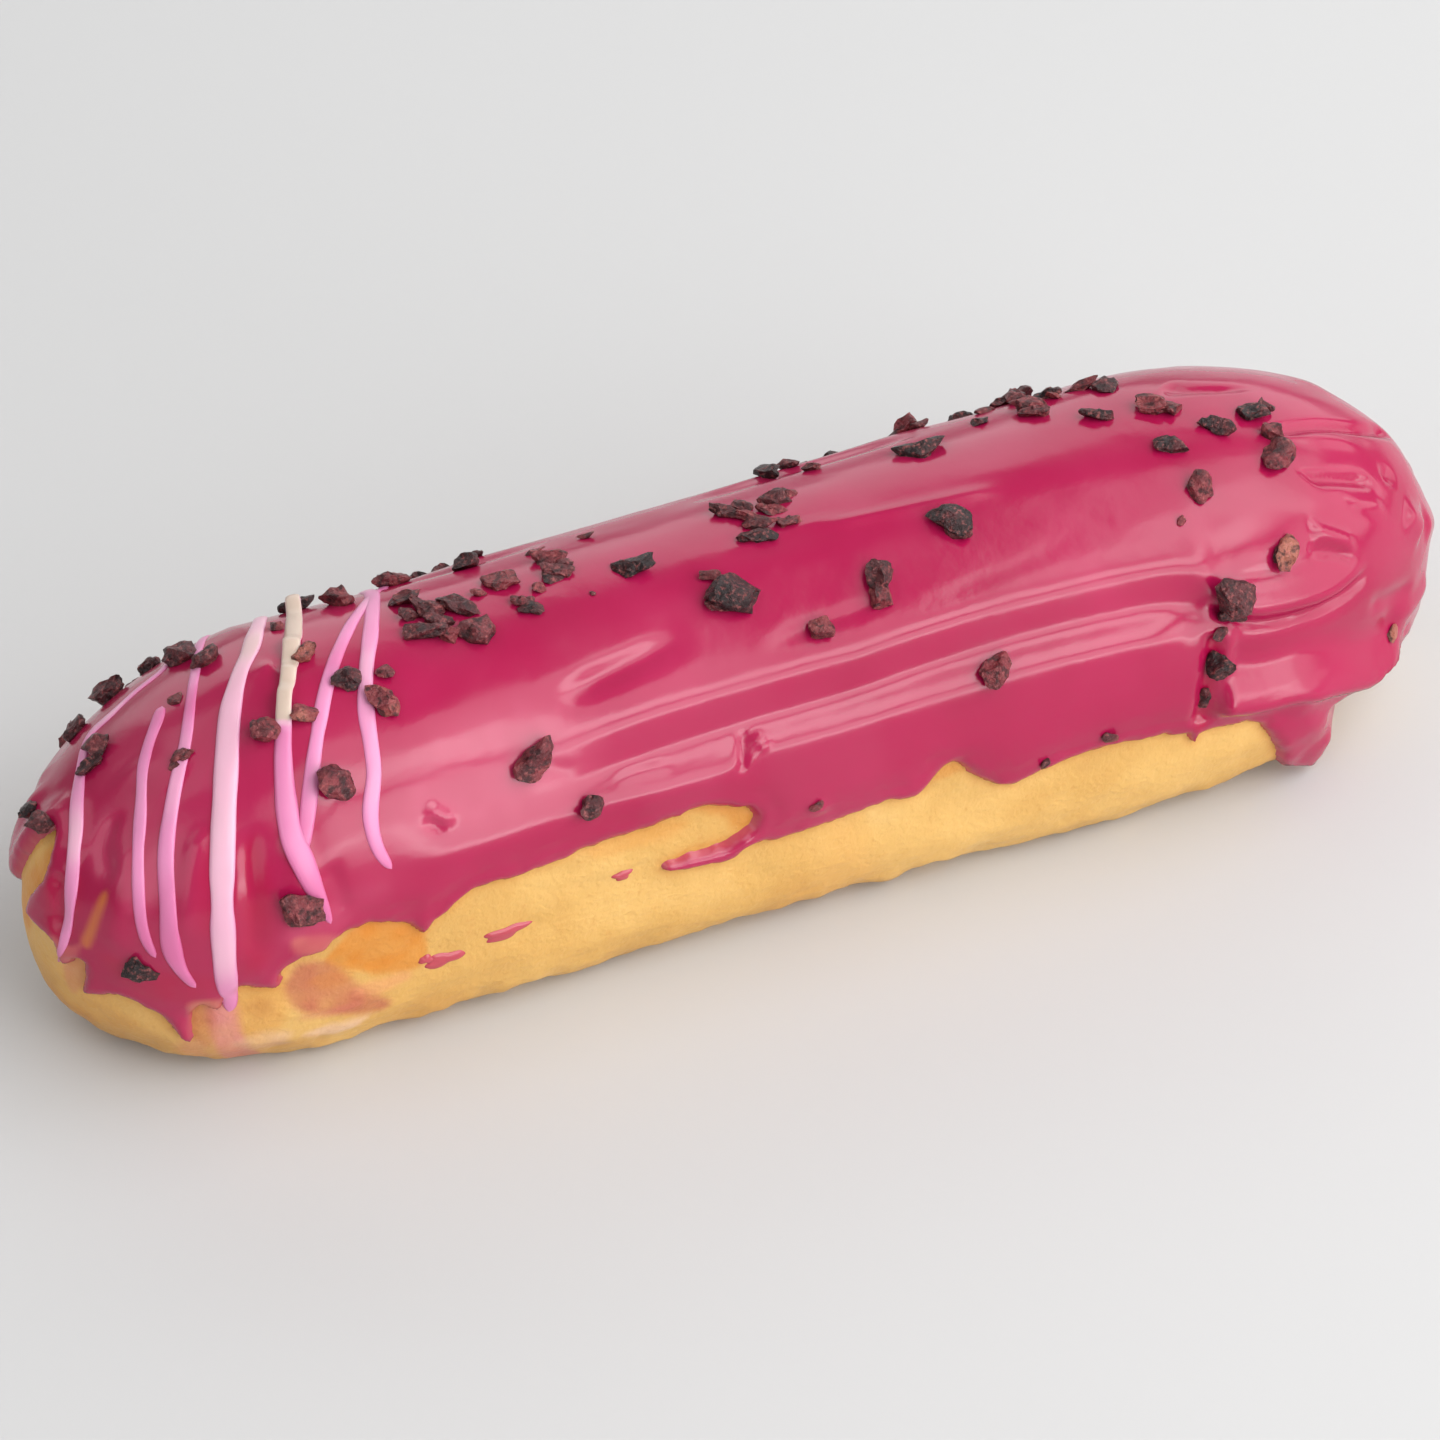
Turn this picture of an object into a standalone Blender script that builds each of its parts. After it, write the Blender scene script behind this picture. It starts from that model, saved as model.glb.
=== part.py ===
"""Raspberry eclair: a long baked choux shell with a thick coat of raspberry icing.

Two pieces, both lofted from one family of cross-sections that is swept round the
eclair's outline (two straight sides and two rounded ends):

  choux_shell      the solid baked finger, flat underneath where it sat on the tray
  raspberry_icing  the dipped coat over the top and sides, with an uneven lower edge,
                   runs and drips, and the soft lengthwise channels of the piped shell

+X runs along the eclair towards its plain end, -X is the end with the drizzle lines,
-Y is the side with the high icing arch, +Z is up. The origin is under the middle,
on the surface that the eclair rests on. Lengths are in metres.
"""

import math

import bmesh
import bpy
import numpy as np

# ---------------------------------------------------------------- driving sizes
LENGTH = 0.150  # of the outline, before WIDTH_GAIN draws the ends out
HALF_WIDTH = 0.0193  # at the widest level, before WIDTH_GAIN
HEIGHT = 0.0378  # table to crown, before HEIGHT_GAIN
WAIST = 0.0168  # height of the widest level
SINK = 0.0021  # the round belly would reach this far below the flat sole
UPPER_POWER = 2.16  # superellipse power of the section above the waist
LOWER_POWER = 2.96  # and below it, squarer
CAP_LEFT = 0.0272  # length of the rounded end at -X
CAP_RIGHT = 0.0301  # and at +X
SLOPE_LEFT = 0.295  # share of its height that the left end's shoulder gives up
SLOPE_RIGHT = 0.013
STATIONS = (-0.075, -0.0375, 0.0, 0.0375, 0.075)
WIDTH_GAIN = (0.011, -0.020, -0.016, 0.059, 0.138)  # the eclair widens to +X
HEIGHT_GAIN = (0.036, 0.009, -0.008, -0.002, -0.001)

ICING = 0.0015  # thickness of the coat
GAP = 0.00036  # between coat and shell
LIP = 0.0011  # height over which the coat's lower edge rounds off
RUN_CLEAR = 0.0006  # more clearance where a run crosses the tight curve of the belly
BARE_BELOW = 0.0020  # the shell has its full width up to here ...
COATED_ABOVE = 0.0145  # ... and has stepped in by the coat's thickness here

# Lower edge of the icing: (outline position, height). The outline runs 0..1 along
# the -Y side from -X to +X, 1..2 round the +X end, 2..3 back along the +Y side and
# 3..4 round the -X end.
EDGE = (
    (0.00, 0.0185),
    (0.05, 0.0185),
    (0.085, 0.0160),
    (0.12, 0.0190),
    (0.22, 0.0202),
    (0.36, 0.0214),
    (0.425, 0.0200),
    (0.460, 0.0142),
    (0.56, 0.0138),
    (0.64, 0.0150),
    (0.68, 0.0176),
    (0.72, 0.0140),
    (0.85, 0.0147),
    (0.96, 0.0132),
    (1.06, 0.0085),
    (1.12, 0.0038),
    (1.18, 0.0036),
    (1.26, 0.0085),
    (1.42, 0.0090),
    (1.60, 0.0105),
    (1.78, 0.0070),
    (1.95, 0.0128),
    (2.12, 0.0150),
    (2.22, 0.0102),
    (2.33, 0.0158),
    (2.50, 0.0176),
    (2.60, 0.0132),
    (2.70, 0.0168),
    (2.84, 0.0180),
    (2.93, 0.0128),
    (3.06, 0.0150),
    (3.22, 0.0108),
    (3.38, 0.0180),
    (3.50, 0.0192),
    (3.60, 0.0150),
    (3.68, 0.0100),
    (3.80, 0.0070),
    (3.90, 0.0120),
)

# Lengthwise channels in the coat: side (-1 near, +1 far), x from and to, height at
# each end, depth, half-height.
CHANNELS = (
    (-1, -0.026, 0.060, 0.0298, 0.0300, 0.00055, 0.0014),
    (-1, -0.022, -0.004, 0.0345, 0.0343, 0.00040, 0.0011),
    (+1, -0.050, 0.036, 0.0296, 0.0304, 0.00050, 0.0015),
    (+1, 0.000, 0.052, 0.0345, 0.0340, 0.00035, 0.0012),
)
# Under this height the side of the coat steps back, like the wall under a shoulder.
SHOULDER = 0.0252
SHOULDER_STEP = 0.0004

SIDE_COLUMNS = 30  # along each straight side
CAP_COLUMNS = 16  # round each end
SHELL_ROWS = 19
COAT_ROWS = 18
LINER_ROWS = 11

CENTRE = (0.002116, -0.000223)  # middle of the finished outline, moved to the origin


# ---------------------------------------------------------------- shape functions
def smooth_curve(knots, values, x):
    """Cubic through the values, with slopes from the neighbours."""
    knots, values = np.asarray(knots, float), np.asarray(values, float)
    slopes = np.gradient(values, knots)
    x = np.clip(x, knots[0], knots[-1])
    i = np.clip(np.searchsorted(knots, x, side="right") - 1, 0, len(knots) - 2)
    span = knots[i + 1] - knots[i]
    u = (x - knots[i]) / span
    return (
        (2 * u**3 - 3 * u**2 + 1) * values[i]
        + (u**3 - 2 * u**2 + u) * span * slopes[i]
        + (3 * u**2 - 2 * u**3) * values[i + 1]
        + (u**3 - u**2) * span * slopes[i + 1]
    )


def smoothstep(low, high, x):
    u = np.clip((x - low) / (high - low), 0.0, 1.0)
    return u * u * (3.0 - 2.0 * u)


def outline(s):
    """Spine x, outward direction and cap length at outline positions s in 0..4."""
    left, right = -LENGTH / 2 + CAP_LEFT, LENGTH / 2 - CAP_RIGHT
    s = np.mod(np.asarray(s, float), 4.0)
    part = np.floor(s).astype(int)
    u = s - part
    turn = math.pi * (u - 0.5)
    spine = np.choose(
        part,
        [left + (right - left) * u, right + 0 * u, right + (left - right) * u, left + 0 * u],
    )
    dx = np.choose(part, [0 * u, np.cos(turn), 0 * u, -np.cos(turn)])
    dy = np.choose(part, [-1 + 0 * u, np.sin(turn), 1 + 0 * u, -np.sin(turn)])
    cap = np.where(part == 1, CAP_RIGHT, CAP_LEFT)
    return spine, dx, dy, cap


def section(turn):
    """Unit section: half-width and signed height at an angle from the waist."""
    power = np.where(turn >= 0, UPPER_POWER, LOWER_POWER)
    across = np.abs(np.cos(turn)) ** (2.0 / power)
    height = np.sign(turn) * np.abs(np.sin(turn)) ** (2.0 / power)
    return across, height


def turn_table():
    """Angle against evenly measured distance along the section, sole to crown."""
    lowest = -math.asin((WAIST / (WAIST + SINK)) ** (LOWER_POWER / 2.0))
    turn = np.concatenate(
        [lowest * (1 - np.linspace(0, 1, 400) ** 2), np.linspace(0, math.pi / 2, 600)[1:]]
    )
    across, height = section(turn)
    y = across * HALF_WIDTH
    z = np.where(turn >= 0, (HEIGHT - WAIST) * height, (WAIST + SINK) * height)
    way = np.concatenate([[0], np.cumsum(np.hypot(np.diff(y), np.diff(z)))])
    return way / way[-1], turn


WAY, TURN = turn_table()


def envelope(s, v):
    """Points of the finished outside at outline s and distance v (0 sole, 1 crown)."""
    turn = np.interp(v, WAY, TURN)
    across, height = section(turn)
    spine, dx, dy, cap = outline(s)
    at = spine + dx * cap * 0.7
    half = HALF_WIDTH * (1 + smooth_curve(STATIONS, WIDTH_GAIN, at))
    top = HEIGHT * (1 + smooth_curve(STATIONS, HEIGHT_GAIN, at))
    slope = np.where(spine + dx * cap > 0, SLOPE_RIGHT, SLOPE_LEFT) * np.abs(dx)
    rise = (top - WAIST) * (1 - slope * across)
    reach = across * half
    z = WAIST + np.where(height >= 0, rise * height, (WAIST + SINK) * height)
    return np.stack(
        [spine + dx * reach * cap / HALF_WIDTH, dy * reach, np.maximum(z, 0.0)], -1
    )


def normals(s, v):
    step = 1e-3
    across = envelope(s + step, v) - envelope(s - step, v)
    up = envelope(s, np.minimum(v + step, 0.999)) - envelope(s, np.maximum(v - step, 0.0))
    n = np.cross(across, up)
    return n / np.maximum(np.linalg.norm(n, axis=-1, keepdims=True), 1e-12)


def level(s, z):
    """Distance v at which the outside reaches height z."""
    v = np.linspace(0.0, 0.9, 181)
    grid_s, grid_v = np.meshgrid(s, v, indexing="ij")
    heights = envelope(grid_s, grid_v)[..., 2]
    return np.array([np.interp(zi, hi, v) for zi, hi in zip(z, heights)])


def inset(z):
    """How far the bare shell lies inside the outside."""
    return (ICING + GAP) * smoothstep(BARE_BELOW, COATED_ABOVE, z)


def relief(points):
    """Channels and the step under the shoulder, as a depth into the coat."""
    x, y, z = points[..., 0], points[..., 1], points[..., 2]
    depth = SHOULDER_STEP * (1 - smoothstep(SHOULDER - 0.0012, SHOULDER + 0.0004, z))
    depth = depth * (1 - smoothstep(0.050, 0.068, np.abs(x)))
    for side, x0, x1, z0, z1, deep, half in CHANNELS:
        u = np.clip((x - x0) / (x1 - x0), 0, 1)
        fade = smoothstep(x0 - 0.004, x0 + 0.010, x) * (1 - smoothstep(x1 - 0.010, x1 + 0.004, x))
        middle = z0 + (z1 - z0) * u
        here = np.exp(-(((z - middle) / half) ** 2)) * fade
        depth = depth + deep * here * (y * side > 0.004)
    return depth


def edge_height(s):
    """Height of the coat's lower edge, eased between the named positions."""
    at = np.array([p[0] for p in EDGE] + [EDGE[0][0] + 4.0])
    height = np.array([p[1] for p in EDGE] + [EDGE[0][1]])
    s = np.mod(s, 4.0)
    i = np.clip(np.searchsorted(at, s, side="right") - 1, 0, len(at) - 2)
    return height[i] + (height[i + 1] - height[i]) * smoothstep(0, 1, (s - at[i]) / (at[i + 1] - at[i]))


# ---------------------------------------------------------------- mesh building
def columns():
    """Outline positions, the same number on both sides so that they pair up."""
    side = np.linspace(0, 1, SIDE_COLUMNS, endpoint=False)
    cap = np.linspace(0, 1, CAP_COLUMNS, endpoint=False)
    return np.concatenate([side, 1 + cap, 2 + side, 3 + cap])


def add_rows(mesh, rows):
    return [[mesh.verts.new(p) for p in row] for row in rows]


def join_rows(mesh, low, high, outward=True):
    count = len(low)
    for i in range(count):
        j = (i + 1) % count
        quad = (low[i], low[j], high[j], high[i])
        mesh.faces.new(quad if outward else quad[::-1])


def close_crown(mesh, ring, spine, outward=True):
    """Joins the last ring to the row of points along the crown."""
    n, c = SIDE_COLUMNS, CAP_COLUMNS

    def face(*corners):
        mesh.faces.new(corners if outward else corners[::-1])

    for i in range(n):
        face(ring[i], ring[i + 1], spine[i + 1], spine[i])
        j = n + c + i
        face(ring[j], ring[j + 1], spine[n - i - 1], spine[n - i])
    for i in range(c):
        face(ring[n + i], ring[n + i + 1], spine[n])
        j = 2 * n + c + i
        face(ring[j], ring[(j + 1) % len(ring)], spine[0])


def crown_row(depth):
    """Points along the crown, lowered by a depth."""
    s = np.linspace(0, 1, SIDE_COLUMNS + 1)
    s[-1] = 1.0 - 1e-9
    points = envelope(s, np.ones_like(s))
    points[:, 2] -= depth
    return points


def finish(name, mesh, colour, roughness):
    bmesh.ops.translate(mesh, verts=mesh.verts, vec=(-CENTRE[0], -CENTRE[1], 0.0))
    bmesh.ops.recalc_face_normals(mesh, faces=mesh.faces)
    data = bpy.data.meshes.new(name)
    mesh.to_mesh(data)
    mesh.free()
    data.shade_smooth()
    obj = bpy.data.objects.new(name, data)
    bpy.context.scene.collection.objects.link(obj)
    data.set_sharp_from_angle(angle=math.radians(50))
    material = bpy.data.materials.new(name)
    material.use_nodes = True
    shader = material.node_tree.nodes["Principled BSDF"]
    shader.inputs["Base Color"].default_value = (*colour, 1.0)
    shader.inputs["Roughness"].default_value = roughness
    shader.inputs["Metallic"].default_value = 0.0
    data.materials.append(material)
    return obj


def offset(s, v, distance):
    """Outside points moved along the normal by a distance."""
    return envelope(s, v) + normals(s, v) * distance[..., None]


def choux_shell():
    s = columns()
    mesh = bmesh.new()
    rows = []
    for v in np.linspace(0.0, 0.93, SHELL_ROWS):
        vv = np.full_like(s, v)
        z = envelope(s, vv)[:, 2]
        row = offset(s, vv, -inset(z))
        if v == 0.0:
            row[:, 2] = 0.0
        rows.append(row)
    rings = add_rows(mesh, rows)
    for low, high in zip(rings, rings[1:]):
        join_rows(mesh, low, high)
    spine = [mesh.verts.new(p) for p in crown_row(ICING + GAP)]
    close_crown(mesh, rings[-1], spine)
    mesh.faces.new(rings[0][::-1])
    return finish("choux_shell", mesh, (0.83, 0.55, 0.20), 0.62)


def raspberry_icing():
    s = columns()
    edge = level(s, edge_height(s))
    rise = level(s, edge_height(s) + LIP) - edge
    mesh = bmesh.new()

    def row(v, above):
        z = envelope(s, v)[:, 2]
        clear = RUN_CLEAR * (1 - smoothstep(0.0080, 0.0130, z))
        return offset(s, v, above + clear - inset(z))

    coat = []
    for k, u in enumerate(np.linspace(0, 1, COAT_ROWS)):
        v = (edge + rise) * (1 - u) + 0.93 * u
        points = row(v, np.full_like(s, GAP + ICING))
        depth = relief(points) * smoothstep(0, 2, k)
        coat.append(points - normals(s, v) * depth[:, None])
    lip = [
        row(edge, np.full_like(s, GAP + 0.30 * ICING)),
        row(edge + 0.30 * rise, np.full_like(s, GAP + 0.78 * ICING)),
    ]
    liner = [
        row((edge + 0.35 * rise) * (1 - u) + 0.93 * u, np.full_like(s, GAP))
        for u in np.linspace(0, 1, LINER_ROWS)
    ]
    outer = add_rows(mesh, lip + coat)
    inner = add_rows(mesh, liner)
    for low, high in zip(outer, outer[1:]):
        join_rows(mesh, low, high)
    for low, high in zip(inner, inner[1:]):
        join_rows(mesh, low, high, outward=False)
    join_rows(mesh, outer[0], inner[0], outward=False)
    close_crown(mesh, outer[-1], [mesh.verts.new(p) for p in crown_row(0.0)])
    close_crown(mesh, inner[-1], [mesh.verts.new(p) for p in crown_row(ICING)], outward=False)
    return finish("raspberry_icing", mesh, (0.52, 0.035, 0.115), 0.30)


# ---------------------------------------------------------------- the eclair
for old in list(bpy.data.objects):
    bpy.data.objects.remove(old, do_unlink=True)

choux_shell()
raspberry_icing()
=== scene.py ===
"""Looks of the raspberry eclair: baked crust, icing coat, drizzle lines and cocoa nibs, with floor, lights and camera."""

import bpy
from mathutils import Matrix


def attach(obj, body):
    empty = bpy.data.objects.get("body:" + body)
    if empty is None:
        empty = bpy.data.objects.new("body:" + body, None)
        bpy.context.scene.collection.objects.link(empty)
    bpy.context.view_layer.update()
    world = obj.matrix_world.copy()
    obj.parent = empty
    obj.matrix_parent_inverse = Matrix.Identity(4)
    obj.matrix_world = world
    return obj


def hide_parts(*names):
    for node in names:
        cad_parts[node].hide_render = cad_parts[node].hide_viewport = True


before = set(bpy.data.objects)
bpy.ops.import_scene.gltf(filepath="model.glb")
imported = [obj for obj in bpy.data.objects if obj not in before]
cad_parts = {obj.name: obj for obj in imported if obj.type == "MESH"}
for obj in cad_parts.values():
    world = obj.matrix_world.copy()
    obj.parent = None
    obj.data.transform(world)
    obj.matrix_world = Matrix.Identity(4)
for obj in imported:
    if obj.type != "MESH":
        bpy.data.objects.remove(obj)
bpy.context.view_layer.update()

import math

import bmesh
import bpy
import numpy as np
from mathutils import Vector
from mathutils.bvhtree import BVHTree

# ------------------------------------------------------------------ sizes of the eclair, as in its CAD
LENGTH = 0.150
HALF_WIDTH = 0.0193
HEIGHT = 0.0378
WAIST = 0.0168
SINK = 0.0021
UPPER_POWER = 2.16
LOWER_POWER = 2.96
CAP_LEFT = 0.0272
CAP_RIGHT = 0.0301
SLOPE_LEFT = 0.295
SLOPE_RIGHT = 0.013
STATIONS = (-0.075, -0.0375, 0.0, 0.0375, 0.075)
WIDTH_GAIN = (0.011, -0.020, -0.016, 0.059, 0.138)
HEIGHT_GAIN = (0.036, 0.009, -0.008, -0.002, -0.001)
CENTRE = np.array([0.002116, -0.000223, 0.0])
MM = 0.001

# ------------------------------------------------------------------ camera that matches the photograph
CAMERA_AZ, CAMERA_EL, CAMERA_WAY = math.radians(-24.453), math.radians(40.0), 0.8
FOCAL_PX, MIDDLE_U, MIDDLE_V = 7956.43, 723.64, 694.77
SIZE_PX = 1440
BACK = np.array(
    [
        math.sin(CAMERA_AZ) * math.cos(CAMERA_EL),
        -math.cos(CAMERA_AZ) * math.cos(CAMERA_EL),
        math.sin(CAMERA_EL),
    ]
)
RIGHT = np.array([math.cos(CAMERA_AZ), math.sin(CAMERA_AZ), 0.0])
UP = np.cross(BACK, RIGHT)
TARGET = np.array([0.0, 0.0, 0.018]) - CENTRE
EYE = TARGET + BACK * CAMERA_WAY


def make_camera():
    data = bpy.data.cameras.new("camera")
    data.sensor_fit = "HORIZONTAL"
    data.sensor_width = 36.0
    data.lens = FOCAL_PX / SIZE_PX * 36.0
    data.shift_x = (SIZE_PX / 2 - MIDDLE_U) / SIZE_PX
    data.shift_y = (MIDDLE_V - SIZE_PX / 2) / SIZE_PX
    data.clip_start = 0.01
    data.clip_end = 20.0
    camera = bpy.data.objects.new("camera", data)
    bpy.context.scene.collection.objects.link(camera)
    camera.location = EYE
    camera.rotation_euler = Vector(BACK).to_track_quat("Z", "Y").to_euler()
    bpy.context.scene.camera = camera


def ray_of(u, v):
    """Direction from the eye through a place in the photograph's frame."""
    way = RIGHT * ((u - MIDDLE_U) / FOCAL_PX) - UP * ((v - MIDDLE_V) / FOCAL_PX) - BACK
    return way / np.linalg.norm(way)


# ------------------------------------------------------------------ noise
def hashed(ix, iy, iz, seed):
    """Steady pseudo-random numbers in 0..1 on a lattice."""
    n = (
        ix.astype(np.int64) * 374761393
        + iy.astype(np.int64) * 668265263
        + iz.astype(np.int64) * 2147483647
        + seed * 1274126177
    )
    n = (n ^ (n >> 13)) * 1274126177
    n = n & 0x7FFFFFFF
    n = (n ^ (n >> 16)) * 668265263
    n = n & 0x7FFFFFFF
    return (n & 0xFFFFFF) / float(0xFFFFFF)


def noise(points, seed=0):
    """Smooth value noise in -1..1."""
    cell = np.floor(points)
    f = points - cell
    f = f * f * f * (f * (f * 6 - 15) + 10)
    x, y, z = (cell[..., i].astype(np.int64) for i in range(3))
    total = 0.0
    for dx in (0, 1):
        for dy in (0, 1):
            for dz in (0, 1):
                w = (
                    (f[..., 0] if dx else 1 - f[..., 0])
                    * (f[..., 1] if dy else 1 - f[..., 1])
                    * (f[..., 2] if dz else 1 - f[..., 2])
                )
                total = total + w * hashed(x + dx, y + dy, z + dz, seed)
    return total * 2 - 1


def fractal(points, octaves=3, seed=0, gain=0.5):
    total, size = 0.0, 1.0
    for k in range(octaves):
        total = total + size * noise(points * 2.03**k + 7.31 * k, seed + k)
        size *= gain
    return total


# ------------------------------------------------------------------ shape functions
def smooth_curve(knots, values, x):
    knots, values = np.asarray(knots, float), np.asarray(values, float)
    slopes = np.gradient(values, knots)
    x = np.clip(x, knots[0], knots[-1])
    i = np.clip(np.searchsorted(knots, x, side="right") - 1, 0, len(knots) - 2)
    span = knots[i + 1] - knots[i]
    u = (x - knots[i]) / span
    return (
        (2 * u**3 - 3 * u**2 + 1) * values[i]
        + (u**3 - 2 * u**2 + u) * span * slopes[i]
        + (3 * u**2 - 2 * u**3) * values[i + 1]
        + (u**3 - u**2) * span * slopes[i + 1]
    )


def smoothstep(low, high, x):
    u = np.clip((x - low) / (high - low), 0.0, 1.0)
    return u * u * (3.0 - 2.0 * u)


def outline(s):
    left, right = -LENGTH / 2 + CAP_LEFT, LENGTH / 2 - CAP_RIGHT
    s = np.mod(np.asarray(s, float), 4.0)
    part = np.floor(s).astype(int)
    u = s - part
    turn = math.pi * (u - 0.5)
    spine = np.choose(
        part, [left + (right - left) * u, right + 0 * u, right + (left - right) * u, left + 0 * u]
    )
    dx = np.choose(part, [0 * u, np.cos(turn), 0 * u, -np.cos(turn)])
    dy = np.choose(part, [-1 + 0 * u, np.sin(turn), 1 + 0 * u, -np.sin(turn)])
    cap = np.where(part == 1, CAP_RIGHT, CAP_LEFT)
    return spine, dx, dy, cap


def section(turn):
    power = np.where(turn >= 0, UPPER_POWER, LOWER_POWER)
    across = np.abs(np.cos(turn)) ** (2.0 / power)
    height = np.sign(turn) * np.abs(np.sin(turn)) ** (2.0 / power)
    return across, height


def turn_table():
    lowest = -math.asin((WAIST / (WAIST + SINK)) ** (LOWER_POWER / 2.0))
    turn = np.concatenate(
        [lowest * (1 - np.linspace(0, 1, 400) ** 2), np.linspace(0, math.pi / 2, 600)[1:]]
    )
    across, height = section(turn)
    y = across * HALF_WIDTH
    z = np.where(turn >= 0, (HEIGHT - WAIST) * height, (WAIST + SINK) * height)
    way = np.concatenate([[0], np.cumsum(np.hypot(np.diff(y), np.diff(z)))])
    return way / way[-1], turn, way[-1]


WAY, TURN, SECTION_WAY = turn_table()


def envelope(s, v):
    """Outside of the iced eclair at outline s and distance v (0 sole, 1 crown)."""
    turn = np.interp(v, WAY, TURN)
    across, height = section(turn)
    spine, dx, dy, cap = outline(s)
    at = spine + dx * cap * 0.7
    half = HALF_WIDTH * (1 + smooth_curve(STATIONS, WIDTH_GAIN, at))
    top = HEIGHT * (1 + smooth_curve(STATIONS, HEIGHT_GAIN, at))
    on_right = spine + dx * cap > 0
    slope = np.where(on_right, SLOPE_RIGHT, SLOPE_LEFT) * np.abs(dx)
    rise = (top - WAIST) * (1 - slope * across)
    reach = across * half
    z = WAIST + np.where(height >= 0, rise * height, (WAIST + SINK) * height)
    z = np.maximum(z, 0.0)
    # the underside of the plain end is tucked in behind its drip
    tuck = 0.085 * smoothstep(0.40, 0.60, dx) * (1 - smoothstep(0.0088, 0.0104, z))
    reach = reach * (1 - np.where(on_right, tuck, 0.0))
    points = np.stack([spine + dx * reach * cap / HALF_WIDTH, dy * reach, z], -1)
    return points - CENTRE


def normals(s, v):
    step = 1.5e-3
    across = envelope(s + step, v) - envelope(s - step, v)
    up = envelope(s, np.minimum(v + step, 0.999)) - envelope(s, np.maximum(v - step, 0.0))
    n = np.cross(across, up)
    return n / np.maximum(np.linalg.norm(n, axis=-1, keepdims=True), 1e-12)


# distance round the outline at waist level, in mm, so that features keep their size
_s = np.linspace(0, 4, 1601)
_rim = envelope(np.minimum(_s, 3.999999), np.full_like(_s, np.interp(0.0, TURN, WAY)))
_round = np.concatenate([[0], np.cumsum(np.linalg.norm(np.diff(_rim, axis=0), axis=1))]) * 1000
ROUND = float(_round[-1])


def round_of(s):
    """mm round the outline, continuing past one turn."""
    turns = np.floor(np.asarray(s, float) / 4.0)
    return np.interp(np.asarray(s, float) - 4 * turns, _s, _round) + turns * ROUND


def s_of(way):
    turns = np.floor(np.asarray(way, float) / ROUND)
    return np.interp(np.asarray(way, float) - turns * ROUND, _round, _s) + turns * 4


def up_of(s, z_mm):
    """mm up the section, from the sole, of height z at outline s."""
    s, z_mm = np.broadcast_arrays(np.asarray(s, float), np.asarray(z_mm, float))
    v = np.linspace(0, 0.985, 400)
    out = np.empty(s.shape)
    for k in np.ndindex(s.shape):
        z = envelope(np.full_like(v, s[k]), v)[:, 2]
        out[k] = np.interp(z_mm[k] * MM, z, v)
    return out * SECTION_WAY * 1000


# ------------------------------------------------------------------ features drawn on the side: polylines in mm (round, up)
def track(points, closed=False, per=6):
    """Smooth polyline in (round, up) mm through (outline s, height z mm) points."""
    s = np.array([p[0] for p in points], float)
    z = np.array([p[1] for p in points], float)
    at = np.stack([round_of(s), up_of(s, z)], -1)
    if closed:
        at = np.concatenate([at[-1:], at, at[:2]])
    else:
        at = np.concatenate([2 * at[:1] - at[1:2], at, 2 * at[-1:] - at[-2:-1]])
    out = []
    for i in range(1, len(at) - 2):
        a, b, c, d = at[i - 1 : i + 3]
        u = np.linspace(0, 1, per, endpoint=False)[:, None]
        out.append(
            0.5
            * (
                2 * b
                + (c - a) * u
                + (2 * a - 5 * b + 4 * c - d) * u**2
                + (3 * b - a - 3 * c + d) * u**3
            )
        )
    out.append(out[0][:1] if closed else at[-2][None])
    return np.concatenate(out)


def away(line, grid_a, grid_w, reach):
    """Distance to a polyline, place along it (0..1) and side (1 above, -1 below) for the grid points near it."""
    near = np.full(grid_a.shape, float(reach))
    along = np.zeros(grid_a.shape)
    side = np.ones(grid_a.shape)
    length = np.concatenate([[0], np.cumsum(np.hypot(*np.diff(line, axis=0).T))])
    middle = 0.5 * (line[:, 0].min() + line[:, 0].max())
    a_of = grid_a + np.round((middle - grid_a) / ROUND) * ROUND
    columns = a_of[:, 0]
    for k in range(len(line) - 1):
        p, q = line[k], line[k + 1]
        low, high = min(p[0], q[0]) - reach, max(p[0], q[0]) + reach
        use = np.where((columns >= low) & (columns <= high))[0]
        if not len(use):
            continue
        a, w = a_of[use], grid_w[use]
        d = q - p
        size = max(float(d @ d), 1e-12)
        t = np.clip(((a - p[0]) * d[0] + (w - p[1]) * d[1]) / size, 0, 1)
        dist = np.hypot(a - p[0] - t * d[0], w - p[1] - t * d[1])
        better = dist < near[use]
        for field, values in (
            (near, dist),
            (along, (length[k] + t * (length[k + 1] - length[k])) / length[-1]),
            (side, np.where(d[0] * (w - p[1]) - d[1] * (a - p[0]) >= 0, 1.0, -1.0)),
        ):
            block = field[use]
            block[better] = values[better]
            field[use] = block
    return near, along, side


def crossings(line, grid_a, grid_w):
    """How many times the polyline is crossed going up from each grid point."""
    count = np.zeros(grid_a.shape, int)
    columns = grid_a[:, 0]
    for k in range(len(line) - 1):
        p, q = line[k], line[k + 1]
        for turn in (-ROUND, 0.0, ROUND):
            a0, a1 = p[0] + turn, q[0] + turn
            low, high = min(a0, a1), max(a0, a1)
            use = np.where((columns >= low) & (columns < high))[0]
            if not len(use) or high - low < 1e-9:
                continue
            t = (columns[use] - a0) / (a1 - a0)
            w = p[1] + t * (q[1] - p[1])
            count[use] += grid_w[use] < w[:, None]
    return count


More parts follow.
